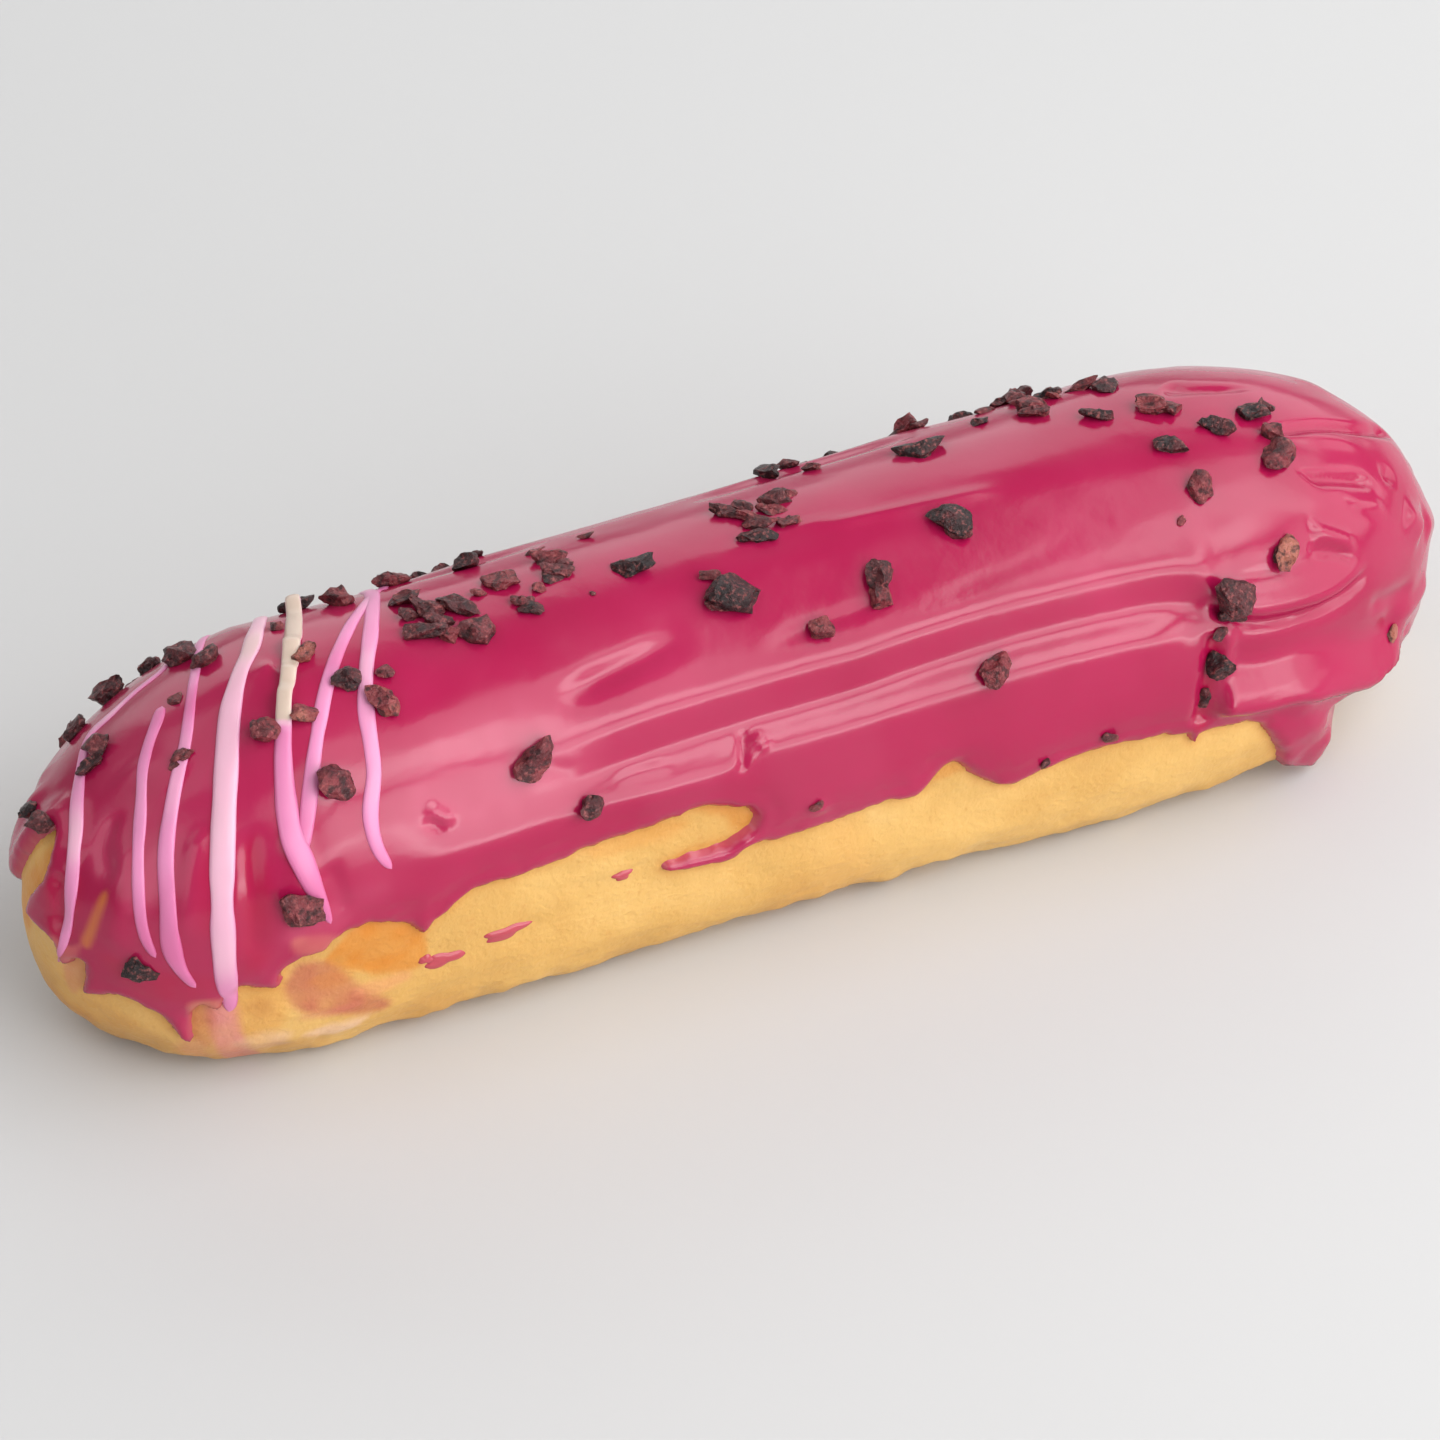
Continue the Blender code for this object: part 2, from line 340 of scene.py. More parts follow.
def stroke(points, grid_a, grid_w, size, half, taper=0.15):
    """Raised (+) or sunk (-) round-backed line of a size in mm."""
    reach = 2.6 * half
    near, along, _ = away(track(points), grid_a, grid_w, reach)
    ends = smoothstep(0, taper, along) * (1 - smoothstep(1 - taper, 1, along)) if taper else 1.0
    return size * np.exp(-((near / half) ** 2)) * ends * (near < reach)


def fold(points, grid_a, grid_w, across, heights, taper=(0.1, 0.1), scale=(1.0, 1.0), size=1.0):
    """Lengthwise fold: heights (mm) at distances across the line (mm, + above it)."""
    reach = max(-across[0], across[-1]) * max(scale)
    near, along, side = away(track(points), grid_a, grid_w, reach)
    wide = scale[0] + (scale[1] - scale[0]) * along
    height = smooth_curve(across, heights, side * near / wide)
    ends = smoothstep(0, max(taper[0], 1e-6), along) * (1 - smoothstep(1 - max(taper[1], 1e-6), 1, along))
    return size * wide * height * ends * (near < reach)


def blot(points, grid_a, grid_w, soft):
    """0..1 inside a closed outline of (s, z) points, or of one (s, z, half-length, half-height) ellipse in mm."""
    if len(points) == 1:
        s, z, ra, rw = points[0]
        turn = np.linspace(0, 2 * math.pi, 29)
        wob = 1 + 0.10 * np.sin(3 * turn + 9 * s) + 0.07 * np.sin(5 * turn + z)
        line = np.stack([round_of(s) + ra * np.cos(turn) * wob, float(up_of(s, z)) + rw * np.sin(turn) * wob], -1)
        line[-1] = line[0]
    else:
        line = track(points, closed=True)
    near, _, _ = away(line, grid_a, grid_w, max(3.0, 2 * soft))
    inside = crossings(line, grid_a, grid_w) % 2 == 1
    return smoothstep(-soft, soft, np.where(inside, near, -near))


# Lower edge of the icing as (outline s, height mm), once round the eclair.
EDGE = (
    (-0.600, 16.4), (-0.568, 17.0), (-0.540, 21.6), (-0.505, 25.6), (-0.470, 24.8),
    (-0.458, 22.3), (-0.478, 19.8), (-0.488, 17.5), (-0.450, 16.9), (-0.415, 16.9),
    (-0.398, 14.7), (-0.386, 14.3), (-0.358, 15.7), (-0.362, 12.9), (-0.366, 11.1),
    (-0.338, 11.4), (-0.300, 11.9), (-0.262, 10.7), (-0.240, 9.3), (-0.222, 7.1),
    (-0.210, 7.0), (-0.206, 10.5), (-0.190, 11.6), (-0.168, 11.1), (-0.146, 13.9),
    (-0.120, 13.6), (-0.094, 13.3), (-0.084, 15.6), (-0.066, 16.6), (-0.040, 17.0),
    (-0.020, 18.4), (0.017, 18.6), (0.055, 17.6), (0.070, 16.5), (0.081, 15.4),
    (0.093, 16.6), (0.117, 17.8), (0.143, 19.1), (0.187, 19.0), (0.233, 19.3),
    (0.280, 19.9), (0.350, 20.1), (0.400, 20.7), (0.430, 19.9), (0.455, 18.9),
    (0.464, 17.7), (0.459, 16.3), (0.433, 15.2), (0.405, 15.0), (0.378, 15.0),
    (0.358, 14.3), (0.372, 13.5), (0.410, 13.0), (0.438, 12.9), (0.457, 14.0),
    (0.500, 13.7), (0.543, 13.9), (0.577, 14.2), (0.613, 14.8), (0.640, 14.4),
    (0.660, 14.8), (0.673, 16.5), (0.694, 17.5), (0.710, 16.1), (0.733, 14.1),
    (0.760, 12.6), (0.790, 13.1), (0.823, 13.8), (0.860, 14.1), (0.910, 14.1),
    (0.950, 13.6), (0.972, 13.1), (0.981, 11.6), (0.993, 12.9), (1.030, 12.5),
    (1.052, 12.2), (1.064, 10.8), (1.078, 8.6), (1.098, 5.2), (1.118, 2.9),
    (1.145, 1.9), (1.172, 2.2), (1.190, 4.0), (1.194, 7.0), (1.202, 9.2),
    (1.225, 9.7), (1.300, 9.6), (1.420, 9.4), (1.550, 11.0), (1.630, 9.2),
    (1.720, 10.6), (1.800, 7.2), (1.835, 6.4), (1.870, 8.8), (1.950, 13.0),
    (2.040, 14.9), (2.120, 14.2), (2.170, 11.0), (2.195, 9.6), (2.220, 11.4),
    (2.280, 15.6), (2.380, 17.3), (2.470, 16.6), (2.540, 13.6), (2.565, 12.2),
    (2.600, 13.9), (2.680, 17.4), (2.780, 18.4), (2.860, 16.2), (2.900, 12.8),
    (2.930, 11.9), (2.970, 14.0), (3.060, 15.8), (3.140, 14.0), (3.200, 10.2),
    (3.235, 9.6), (3.270, 12.6), (3.330, 15.4),
)
ICING_DEPTH = 1.25  # mm, how far the coat stands off the crust
GRID_MM = 0.40


def grid(rows_up, columns=None):
    """Outline s and distance v of a grid, with (round, up) in mm. rows_up is in mm of the section."""
    count = columns or int(round(ROUND / GRID_MM))
    way = (np.arange(count) + 0.5) * ROUND / count
    s = s_of(way)
    up = np.asarray(rows_up, float)
    if up.ndim == 1:
        up = np.broadcast_to(up, (count, len(up)))
    ss = np.broadcast_to(s[:, None], up.shape)
    a = np.broadcast_to(way[:, None], up.shape)
    return ss, up / (SECTION_WAY * 1000), a, up


def ring_mesh(points, crown=None, sole=None):
    """Vertices and quads of a closed ring grid (columns round, rows up)."""
    n, m, _ = points.shape
    index = np.arange(n * m).reshape(n, m)
    right = np.roll(index, -1, axis=0)
    quads = np.stack([index[:, :-1], right[:, :-1], right[:, 1:], index[:, 1:]], -1).reshape(-1, 4)
    return points.reshape(-1, 3), [tuple(q) for q in quads]


def new_object(name, verts, faces, material, smooth=True):
    data = bpy.data.meshes.new(name)
    data.from_pydata([tuple(v) for v in verts], [], faces)
    data.validate()
    data.update()
    if smooth:
        data.shade_smooth()
    obj = bpy.data.objects.new(name, data)
    bpy.context.scene.collection.objects.link(obj)
    data.materials.append(material)
    return obj


def add_attribute(obj, name, values):
    layer = obj.data.attributes.new(name, "FLOAT", "POINT")
    layer.data.foreach_set("value", np.asarray(values, np.float32))


def cross_pairs(n):
    """Gives back n as it is; no pairs of columns are worked out."""
    # columns start just after the -X corner of the near side and run round by +X
    return n


def crown_strip(ring, n):
    """Quads that close a ring over the crown, joining each near column to the far one across from it."""
    # the ring's columns are symmetrical about the line through both tips
    x_tip = int(np.argmax(ring[:, 0]))
    faces = []
    right = [(x_tip - k) % n for k in range(n // 2 + 1)]
    left = [(x_tip + 1 + k) % n for k in range(n // 2 + 1)]
    for k in range(n // 2 - 1):
        faces.append((right[k], left[k], left[k + 1], right[k + 1]))
    return faces


# ------------------------------------------------------------------ material helpers
def new_material(name):
    material = bpy.data.materials.new(name)
    material.use_nodes = True
    tree = material.node_tree
    shader = tree.nodes["Principled BSDF"]
    return material, tree, shader


def node(tree, kind, **values):
    made = tree.nodes.new(kind)
    for key, value in values.items():
        if key in made.inputs:
            made.inputs[key].default_value = value
        else:
            setattr(made, key, value)
    return made


def ramp(tree, factor, stops, interpolation="EASE"):
    made = tree.nodes.new("ShaderNodeValToRGB")
    made.color_ramp.interpolation = interpolation
    elements = made.color_ramp.elements
    elements[0].position, elements[0].color = stops[0][0], (*stops[0][1], 1)
    elements[1].position, elements[1].color = stops[-1][0], (*stops[-1][1], 1)
    for at, colour in stops[1:-1]:
        element = elements.new(at)
        element.color = (*colour, 1)
    tree.links.new(factor, made.inputs["Fac"])
    return made.outputs["Color"]


def mix(tree, factor, a, b):
    made = node(tree, "ShaderNodeMix", data_type="RGBA")
    if hasattr(factor, "is_linked"):
        tree.links.new(factor, made.inputs["Factor"])
    else:
        made.inputs["Factor"].default_value = factor
    for socket, value in (("A", a), ("B", b)):
        target = [i for i in made.inputs if i.name == socket and i.type == "RGBA"][0]
        if hasattr(value, "is_linked"):
            tree.links.new(value, target)
        else:
            target.default_value = (*value, 1)
    return [o for o in made.outputs if o.type == "RGBA"][0]


def maths(tree, operation, a, b=None, clamp=False):
    made = node(tree, "ShaderNodeMath", operation=operation, use_clamp=clamp)
    for socket, value in zip(made.inputs, (a, b)):
        if value is None:
            continue
        if hasattr(value, "is_linked"):
            tree.links.new(value, socket)
        else:
            socket.default_value = value
    return made.outputs[0]


def span(tree, value, a, b, c=0.0, d=1.0):
    made = node(tree, "ShaderNodeMapRange", interpolation_type="SMOOTHSTEP")
    tree.links.new(value, made.inputs["Value"])
    for socket, number in zip(("From Min", "From Max", "To Min", "To Max"), (a, b, c, d)):
        made.inputs[socket].default_value = number
    return made.outputs["Result"]


def mottle(tree, scale, detail=3.0, rough=0.55, offset=0.0):
    """Noise by object position, at a scale per metre."""
    place = tree.nodes.new("ShaderNodeTexCoord")
    move = node(tree, "ShaderNodeMapping")
    move.inputs["Location"].default_value = (offset, offset * 0.7, -offset)
    tree.links.new(place.outputs["Object"], move.inputs["Vector"])
    made = node(tree, "ShaderNodeTexNoise")
    made.inputs["Scale"].default_value = scale
    made.inputs["Detail"].default_value = detail
    made.inputs["Roughness"].default_value = rough
    tree.links.new(move.outputs["Vector"], made.inputs["Vector"])
    return made.outputs["Fac"]


def bump(tree, shader, height, distance, strength=1.0, before=None):
    made = node(tree, "ShaderNodeBump")
    made.inputs["Strength"].default_value = strength
    made.inputs["Distance"].default_value = distance
    tree.links.new(height, made.inputs["Height"])
    if before is not None:
        tree.links.new(before, made.inputs["Normal"])
    tree.links.new(made.outputs["Normal"], shader.inputs["Normal"])
    return made.outputs["Normal"]


def attribute(tree, name):
    made = node(tree, "ShaderNodeAttribute", attribute_name=name)
    return made.outputs["Fac"]


def tinted(tree, colour):
    """The colour field kept on the mesh, laid over a colour."""
    made = node(tree, "ShaderNodeAttribute", attribute_name="tint")
    return mix(tree, made.outputs["Alpha"], colour, made.outputs["Color"])


def icing_material():
    material, tree, shader = new_material("raspberry_icing_satin")
    broad = mottle(tree, 55.0, 2.0)
    colour = ramp(
        tree,
        broad,
        [(0.25, (0.318, 0.0042, 0.0490)), (0.5, (0.352, 0.0057, 0.0575)), (0.75, (0.388, 0.0088, 0.0690))],
    )
    colour = tinted(tree, colour)
    tree.links.new(colour, shader.inputs["Base Color"])
    rough = span(tree, mottle(tree, 130.0, 2.0, 0.5, 9.0), 0.3, 0.7, 0.15, 0.22)
    tree.links.new(rough, shader.inputs["Roughness"])
    shader.inputs["IOR"].default_value = 1.49
    shader.inputs["Subsurface Weight"].default_value = 0.08
    shader.inputs["Subsurface Radius"].default_value = (1.0, 0.25, 0.35)
    shader.inputs["Subsurface Scale"].default_value = 0.0010
    fine = mottle(tree, 420.0, 3.0, 0.6, 3.0)
    bump(tree, shader, fine, 0.00005, 0.5)
    return material


def crust_material():
    material, tree, shader = new_material("baked_choux_crust")
    broad = mottle(tree, 70.0, 3.0, 0.55)
    colour = ramp(
        tree,
        broad,
        [(0.22, (0.510, 0.2720, 0.0720)), (0.45, (0.605, 0.3430, 0.0940)), (0.62, (0.670, 0.4000, 0.1220)), (0.82, (0.730, 0.4740, 0.1760))],
    )
    specks = span(tree, mottle(tree, 900.0, 2.0, 0.6, 5.0), 0.60, 0.80)
    colour = mix(tree, maths(tree, "MULTIPLY", specks, 0.30), colour, (0.50, 0.22, 0.045))
    colour = tinted(tree, colour)
    tree.links.new(colour, shader.inputs["Base Color"])
    shader.inputs["Roughness"].default_value = 0.50
    shader.inputs["IOR"].default_value = 1.42
    shader.inputs["Subsurface Weight"].default_value = 0.12
    shader.inputs["Subsurface Radius"].default_value = (1.0, 0.55, 0.25)
    shader.inputs["Subsurface Scale"].default_value = 0.0012
    first = bump(tree, shader, mottle(tree, 320.0, 4.0, 0.6, 2.0), 0.00022, 0.6)
    pores = span(tree, mottle(tree, 1500.0, 2.0, 0.5, 8.0), 0.35, 0.65)
    bump(tree, shader, pores, 0.00008, 0.5, before=first)
    return material


def drizzle_material():
    material, tree, shader = new_material("pink_drizzle_gloss")
    tone = attribute(tree, "tone")
    colour = ramp(
        tree,
        tone,
        [(0.0, (0.480, 0.0700, 0.2000)), (0.20, (0.600, 0.1350, 0.3050)), (0.45, (0.670, 0.2250, 0.4200)), (0.78, (0.730, 0.4050, 0.5200)), (1.0, (0.560, 0.4350, 0.3550))],
    )
    tree.links.new(colour, shader.inputs["Base Color"])
    shader.inputs["Roughness"].default_value = 0.34
    shader.inputs["IOR"].default_value = 1.46
    shader.inputs["Subsurface Weight"].default_value = 0.15
    shader.inputs["Subsurface Radius"].default_value = (1.0, 0.5, 0.7)
    shader.inputs["Subsurface Scale"].default_value = 0.0008
    bump(tree, shader, mottle(tree, 500.0, 2.0), 0.00005, 0.5)
    return material


def nib_material():
    material, tree, shader = new_material("cocoa_nib_rough")
    tone = attribute(tree, "tone")
    colour = ramp(
        tree,
        tone,
        [(0.0, (0.014, 0.0065, 0.0075)), (0.30, (0.085, 0.0160, 0.0200)), (0.60, (0.200, 0.0300, 0.0380)), (1.0, (0.400, 0.1350, 0.0900))],
    )
    grain = span(tree, mottle(tree, 2300.0, 3.0, 0.6, 1.0), 0.50, 0.70)
    lit = mix(tree, 0.50, colour, (0.480, 0.1300, 0.1250))
    colour = mix(tree, grain, colour, lit)
    dark = span(tree, mottle(tree, 1100.0, 3.0, 0.6, 6.0), 0.47, 0.64)
    colour = mix(tree, maths(tree, "MULTIPLY", dark, 0.80), colour, (0.014, 0.0040, 0.0050))
    tree.links.new(colour, shader.inputs["Base Color"])
    shader.inputs["Roughness"].default_value = 0.30
    shader.inputs["IOR"].default_value = 1.42
    bump(tree, shader, mottle(tree, 1700.0, 4.0, 0.65), 0.00050, 1.0)
    return material


# ------------------------------------------------------------------ lights, floor, world
def area_light(name, az, el, way, width, height, radiance, look=(0.0, 0.0, 0.02), tint=(1, 1, 1)):
    az, el = math.radians(az), math.radians(el)
    back = Vector((math.sin(az) * math.cos(el), -math.cos(az) * math.cos(el), math.sin(el)))
    data = bpy.data.lights.new(name, "AREA")
    data.shape = "RECTANGLE"
    data.size, data.size_y = width, height
    data.energy = radiance * math.pi * width * height
    data.color = tint
    lamp = bpy.data.objects.new(name, data)
    bpy.context.scene.collection.objects.link(lamp)
    lamp.location = Vector(look) + back * way
    lamp.rotation_euler = back.to_track_quat("Z", "Y").to_euler()
    lamp.visible_camera = False
    return lamp


def make_stage():
    scene = bpy.context.scene
    scene.view_settings.view_transform = "Standard"
    scene.view_settings.look = "None"
    scene.view_settings.exposure = 0.0
    scene.view_settings.gamma = 1.0

    world = bpy.data.worlds.new("soft_room")
    scene.world = world
    world.use_nodes = True
    world.node_tree.nodes["Background"].inputs["Color"].default_value = (1.0, 1.0, 1.0, 1.0)
    world.node_tree.nodes["Background"].inputs["Strength"].default_value = 0.28

    # a tall narrow softbox gives the bright band along the side, a wide one above it a paler band
    area_light("key_low", 23.0, 20.0, 1.3, 1.00, 0.58, 3.7)
    area_light("key_foot", 23.0, 6.5, 1.22, 1.00, 0.22, 3.7)
    area_light("key_mid", 28.0, 45.5, 1.24, 1.00, 0.30, 3.5)
    area_light("key_high", 30.0, 52.5, 1.3, 1.90, 0.77, 1.85)
    area_light("side_low", 70.0, 17.0, 1.3, 1.25, 0.60, 2.0)
    area_light("camera_fill", -60.0, 28.0, 1.5, 1.1, 1.0, 1.15)
    area_light("right_near", 84.0, 52.0, 0.457, 0.30, 0.36, 2.0, look=(0.05, 0.0, 0.03))
    area_light("left_fill", -118.0, 50.0, 1.3, 1.0, 0.8, 0.9)
    area_light("back_fill", 156.0, 24.0, 1.4, 2.6, 0.95, 1.4)

    material, tree, shader = new_material("pale_floor")
    shade = ramp(tree, mottle(tree, 3.0, 2.0), [(0.3, (0.540, 0.540, 0.540)), (0.7, (0.560, 0.560, 0.560))])
    tree.links.new(shade, shader.inputs["Base Color"])
    shader.inputs["Roughness"].default_value = 0.7
    half = 3.0
    floor = new_object(
        "floor",
        [(-half, -half, 0), (half, -half, 0), (half, half, 0), (-half, half, 0)],
        [(0, 1, 2, 3)],
        material,
        smooth=False,
    )


# ------------------------------------------------------------------ crust
INSET_MM = 1.45  # the crust lies this far inside the envelope under the icing


def crust_inset(s, z):
    """The crust comes out to the envelope low down, and in the bare strip at the drizzled end."""
    bare = smoothstep(3.36, 3.45, s) * (1 - smoothstep(3.58, 3.70, s))
    return INSET_MM * MM * smoothstep(0.002, 0.0145, z) * (1 - 0.62 * bare)


def crust_surface(s, v):
    """Bare crust surface with its unevenness."""
    base = envelope(s, v)
    n = normals(s, v)
    z = base[..., 2]
    mm = base * 1000
    rough = 0.16 * fractal(mm / np.array([9.0, 9.0, 5.0]), 3, 11)
    rough = rough + 0.05 * fractal(mm / 1.7, 2, 23)
    rough = rough * smoothstep(0.0, 0.004, z)
    foot = 0.46 * fractal(mm / np.array([5.0, 5.0, 5.0]), 3, 31) * (1 - smoothstep(0.002, 0.007, z))
    return base + n * ((rough + foot) * MM - crust_inset(np.mod(s, 4.0), z))[..., None], n


def make_crust(material):
    rows = np.concatenate(
        [np.linspace(0, 4, 10, endpoint=False), np.linspace(4, 26, 58, endpoint=False), np.linspace(26, SECTION_WAY * 1000 * 0.965, 20)]
    )
    ss, vv, aa, ww = grid(rows)
    points, n = crust_surface(ss, vv)
    points[:, 0, 2] = 0.0
    points[..., 2] = np.maximum(points[..., 2], 0.0)
    verts, faces = ring_mesh(points)
    count, m, _ = points.shape
    index = np.arange(count * m).reshape(count, m)
    # crown
    for f in crown_strip(points[:, -1], count):
        faces.append(tuple(int(index[i, -1]) for i in f))
    # sole: rings drawn in towards the middle line, slightly hollow
    verts = [tuple(p) for p in verts]
    ring = points[:, 0]
    spine, _, _, _ = outline(ss[:, 0])
    middle = np.stack([spine, 0 * spine, 0 * spine], -1) - CENTRE * np.array([1, 1, 0])
    last = index[:, 0]
    for k, share in enumerate((0.92, 0.75, 0.5, 0.25, 0.06)):
        new = ring * share + middle * (1 - share)
        mm = new * 1000
        lift = (0.25 + 0.12 * fractal(mm / 7.0, 2, 41)) * MM
        new[:, 2] = np.clip(lift, 0.00005, 0.0006) * (1.0 if k else 0.3)
        start = len(verts)
        verts.extend(tuple(p) for p in new)
        now = np.arange(start, start + count)
        for i in range(count):
            j = (i + 1) % count
            faces.append((int(last[i]), int(now[i]), int(now[j]), int(last[j])))
        last = now
    for f in crown_strip(np.array(verts)[last], count):
        faces.append(tuple(int(last[i]) for i in f[::-1]))
    obj = new_object("choux_crust", verts, faces, material)

    # colour of the side: painted shade in a narrow band under the icing's lip, toasted in random patches, and the blots
    # of CRUST_BLOTS, among them stains where icing ran and was wiped, and painted shade in the pockets under the
    # icing's lip at the arch and a small notch
    full = np.array(verts)
    tint = np.zeros((len(full), 4))
    body = slice(0, count * m)
    near, _, _ = away(edge_line(), aa, ww, 3.0)
    # painted shade: a narrow darker band just under the icing's lip; random toasted patches are laid into the same
    # field on the next line
    lip_shade_and_toast = 0.42 * np.exp(-((near / 0.8) ** 2))
    lip_shade_and_toast = np.maximum(lip_shade_and_toast, 0.22 * smoothstep(0.1, 0.8, fractal(points * 1000 / 14.0, 2, 51)))
    field = np.zeros((*aa.shape, 4))
    over(field, TOAST_AND_LIP_SHADE, lip_shade_and_toast)
    for colour, much, soft, outline_ in CRUST_BLOTS:
        over(field, colour, much * blot(outline_, aa, ww, soft) * (0.86 + 0.22 * noise(points * 1000 / 1.6, 57)))
    tint[body] = field.reshape(-1, 4)
    add_colour(obj, "tint", tint)
    return obj


def edge_line():
    return track(EDGE + ((EDGE[0][0] + 4, EDGE[0][1]),))


def over(field, colour, amount):
    """Lay a colour over a field of colour and amount."""
    a = np.clip(amount, 0, 1)
    total = a + field[..., 3] * (1 - a)
    for k in range(3):
        field[..., k] = np.where(
            total > 1e-6, (colour[k] * a + field[..., k] * field[..., 3] * (1 - a)) / np.maximum(total, 1e-6), colour[k]
        )
    field[..., 3] = total


def add_colour(obj, name, values):
    layer = obj.data.attributes.new(name, "FLOAT_COLOR", "POINT")
    layer.data.foreach_set("color", np.asarray(values, np.float32).reshape(-1))


# toasted crust colour, also used as painted shade under the icing's lip
TOAST_AND_LIP_SHADE = (0.540, 0.2050, 0.0280)
ORANGE = (0.590, 0.2050, 0.0200)
UMBER = (0.430, 0.1700, 0.0400)
SALMON = (0.430, 0.1050, 0.0600)
PEACH = (0.660, 0.2700, 0.1200)
CREAM = (0.720, 0.4600, 0.3000)
ROSE = (0.560, 0.1450, 0.1150)
SMEAR = (0.640, 0.2000, 0.2400)
CRIMSON = (0.390, 0.0020, 0.0420)
DUSK = (0.400, 0.0350, 0.0950)
BLUSH = (0.520, 0.0700, 0.1450)

# colour, strength, softness mm, outline as (s, height mm), or one (s, height, half-length, half-height)
CRUST_BLOTS = (
    (ORANGE, 0.92, 0.45, ((-0.034, 14.6), (-0.015, 17.0), (0.017, 18.9), (0.060, 18.6), (0.078, 16.2), (0.086, 13.4), (0.077, 10.8), (0.037, 11.2), (0.0, 13.0))),
    (TOAST_AND_LIP_SHADE, 0.55, 0.5, ((0.020, 12.2), (0.050, 11.9), (0.078, 11.2), (0.070, 10.4), (0.030, 11.0))),
    (SALMON, 0.85, 0.7, ((-0.086, 12.1), (-0.080, 13.9), (-0.062, 15.6), (-0.026, 14.5), (0.010, 10.4), (0.042, 7.0), (0.020, 6.2), (-0.026, 7.8), (-0.071, 9.4))),
    (ORANGE, 0.30, 0.5, ((-0.024, 12.4, 2.4, 1.2),)),
    (ROSE, 0.35, 0.5, ((-0.030, 8.2, 3.4, 0.6),)),
    (CREAM, 0.80, 0.6, ((-0.022, 5.4, 3.4, 1.1),)),
    (PEACH, 0.55, 0.5, ((0.034, 9.8, 3.0, 0.9),)),
    (SMEAR, 0.92, 0.6, ((-0.184, 12.2), (-0.150, 12.2), (-0.142, 6.5), (-0.130, 1.6), (-0.176, 1.2), (-0.184, 6.0))),
    (SALMON, 0.70, 0.6, ((-0.215, 12.2), (-0.178, 12.4), (-0.178, 7.5), (-0.195, 5.4), (-0.214, 8.0))),
    (ORANGE, 0.40, 0.8, ((-0.150, 13.8), (-0.090, 13.6), (-0.090, 8.0), (-0.140, 7.0))),
    (CREAM, 0.65, 0.8, ((-0.118, 5.4, 3.0, 1.8),)),
    (SMEAR, 0.35, 0.9, ((-0.215, 4.6, 1.8, 2.0),)),
    (TOAST_AND_LIP_SHADE, 0.22, 2.2, ((-0.560, 12.0), (-0.330, 11.0), (-0.120, 9.0), (-0.130, 1.0), (-0.330, 0.6), (-0.560, 2.0))),
    (UMBER, 0.34, 1.0, ((-0.330, 9.0), (-0.230, 6.0), (-0.060, 5.2), (-0.040, 2.2), (-0.160, 0.6), (-0.300, 0.8), (-0.420, 2.0), (-0.400, 8.0))),
    (UMBER, 0.45, 0.6, ((-0.118, 10.4, 1.6, 1.1),)),
    # painted shade: the crust in the pocket under the overhanging arch of the icing's edge
    (TOAST_AND_LIP_SHADE, 0.75, 0.7, ((0.395, 20.8), (0.440, 20.6), (0.468, 17.8), (0.462, 15.8), (0.440, 16.5), (0.432, 18.2), (0.405, 19.8))),
    (ORANGE, 0.35, 0.8, ((0.330, 18.9, 5.5, 1.4),)),
    # painted shade: the crust in the small notch under the icing's edge
    (TOAST_AND_LIP_SHADE, 0.60, 0.5, ((0.686, 16.4, 2.6, 0.9),)),
    (ORANGE, 0.72, 0.8, ((3.44, 16.0), (3.49, 22.0), (3.52, 25.6), (3.54, 24.6), (3.53, 20.0), (3.51, 15.0), (3.47, 12.6))),
    (ROSE, 0.45, 0.4, ((3.600, 15.8), (3.640, 17.0), (3.634, 12.0), (3.600, 9.6))),
    (TOAST_AND_LIP_SHADE, 0.45, 1.0, ((3.56, 6.0, 4.0, 2.6),)),
    (ROSE, 0.40, 0.5, ((2.42, 14.0, 2.5, 1.6),)),
    (TOAST_AND_LIP_SHADE, 0.45, 0.9, ((2.36, 14.6, 4.5, 1.6),)),
    (PEACH, 0.50, 0.5, ((2.72, 15.0, 3.0, 1.6),)),
    (TOAST_AND_LIP_SHADE, 0.40, 0.9, ((3.04, 13.0, 4.0, 1.6),)),
    (SMEAR, 0.40, 0.6, ((3.12, 9.0, 1.2, 3.0),)),
)


# ------------------------------------------------------------------ icing coat
SHOULDER = ((-7, -4.2, -2, -0.4, 0.1, 0.6, 2.2, 4.2, 6), (0, 0.02, 0.25, 0.52, 0.56, 0.50, 0.24, 0.06, 0))
CHANNEL = ((-6, -3.4, -1.6, -0.5, 0.2, 1.2, 2.4, 3.4, 4.2, 5.6, 8, 10.5), (0, -0.16, -0.50, -0.76, -0.78, -0.46, 0.06, 0.46, 0.52, 0.36, 0.10, 0))
LEDGE = ((-4, -2, -1.0, -0.4, 0.1, 0.9, 2.6, 3.6, 4.4, 6.5, 9), (0, 0.02, 0.42, 1.12, 1.30, 1.02, 0.02, -0.52, -0.62, -0.36, 0))
CREASE = ((-4, -1.6, -0.7, -0.1, 0.15, 0.7, 1.3, 2.4, 3.6, 5), (0, -0.08, -0.42, -0.92, -0.86, 0.05, 0.42, 0.32, 0.06, 0))
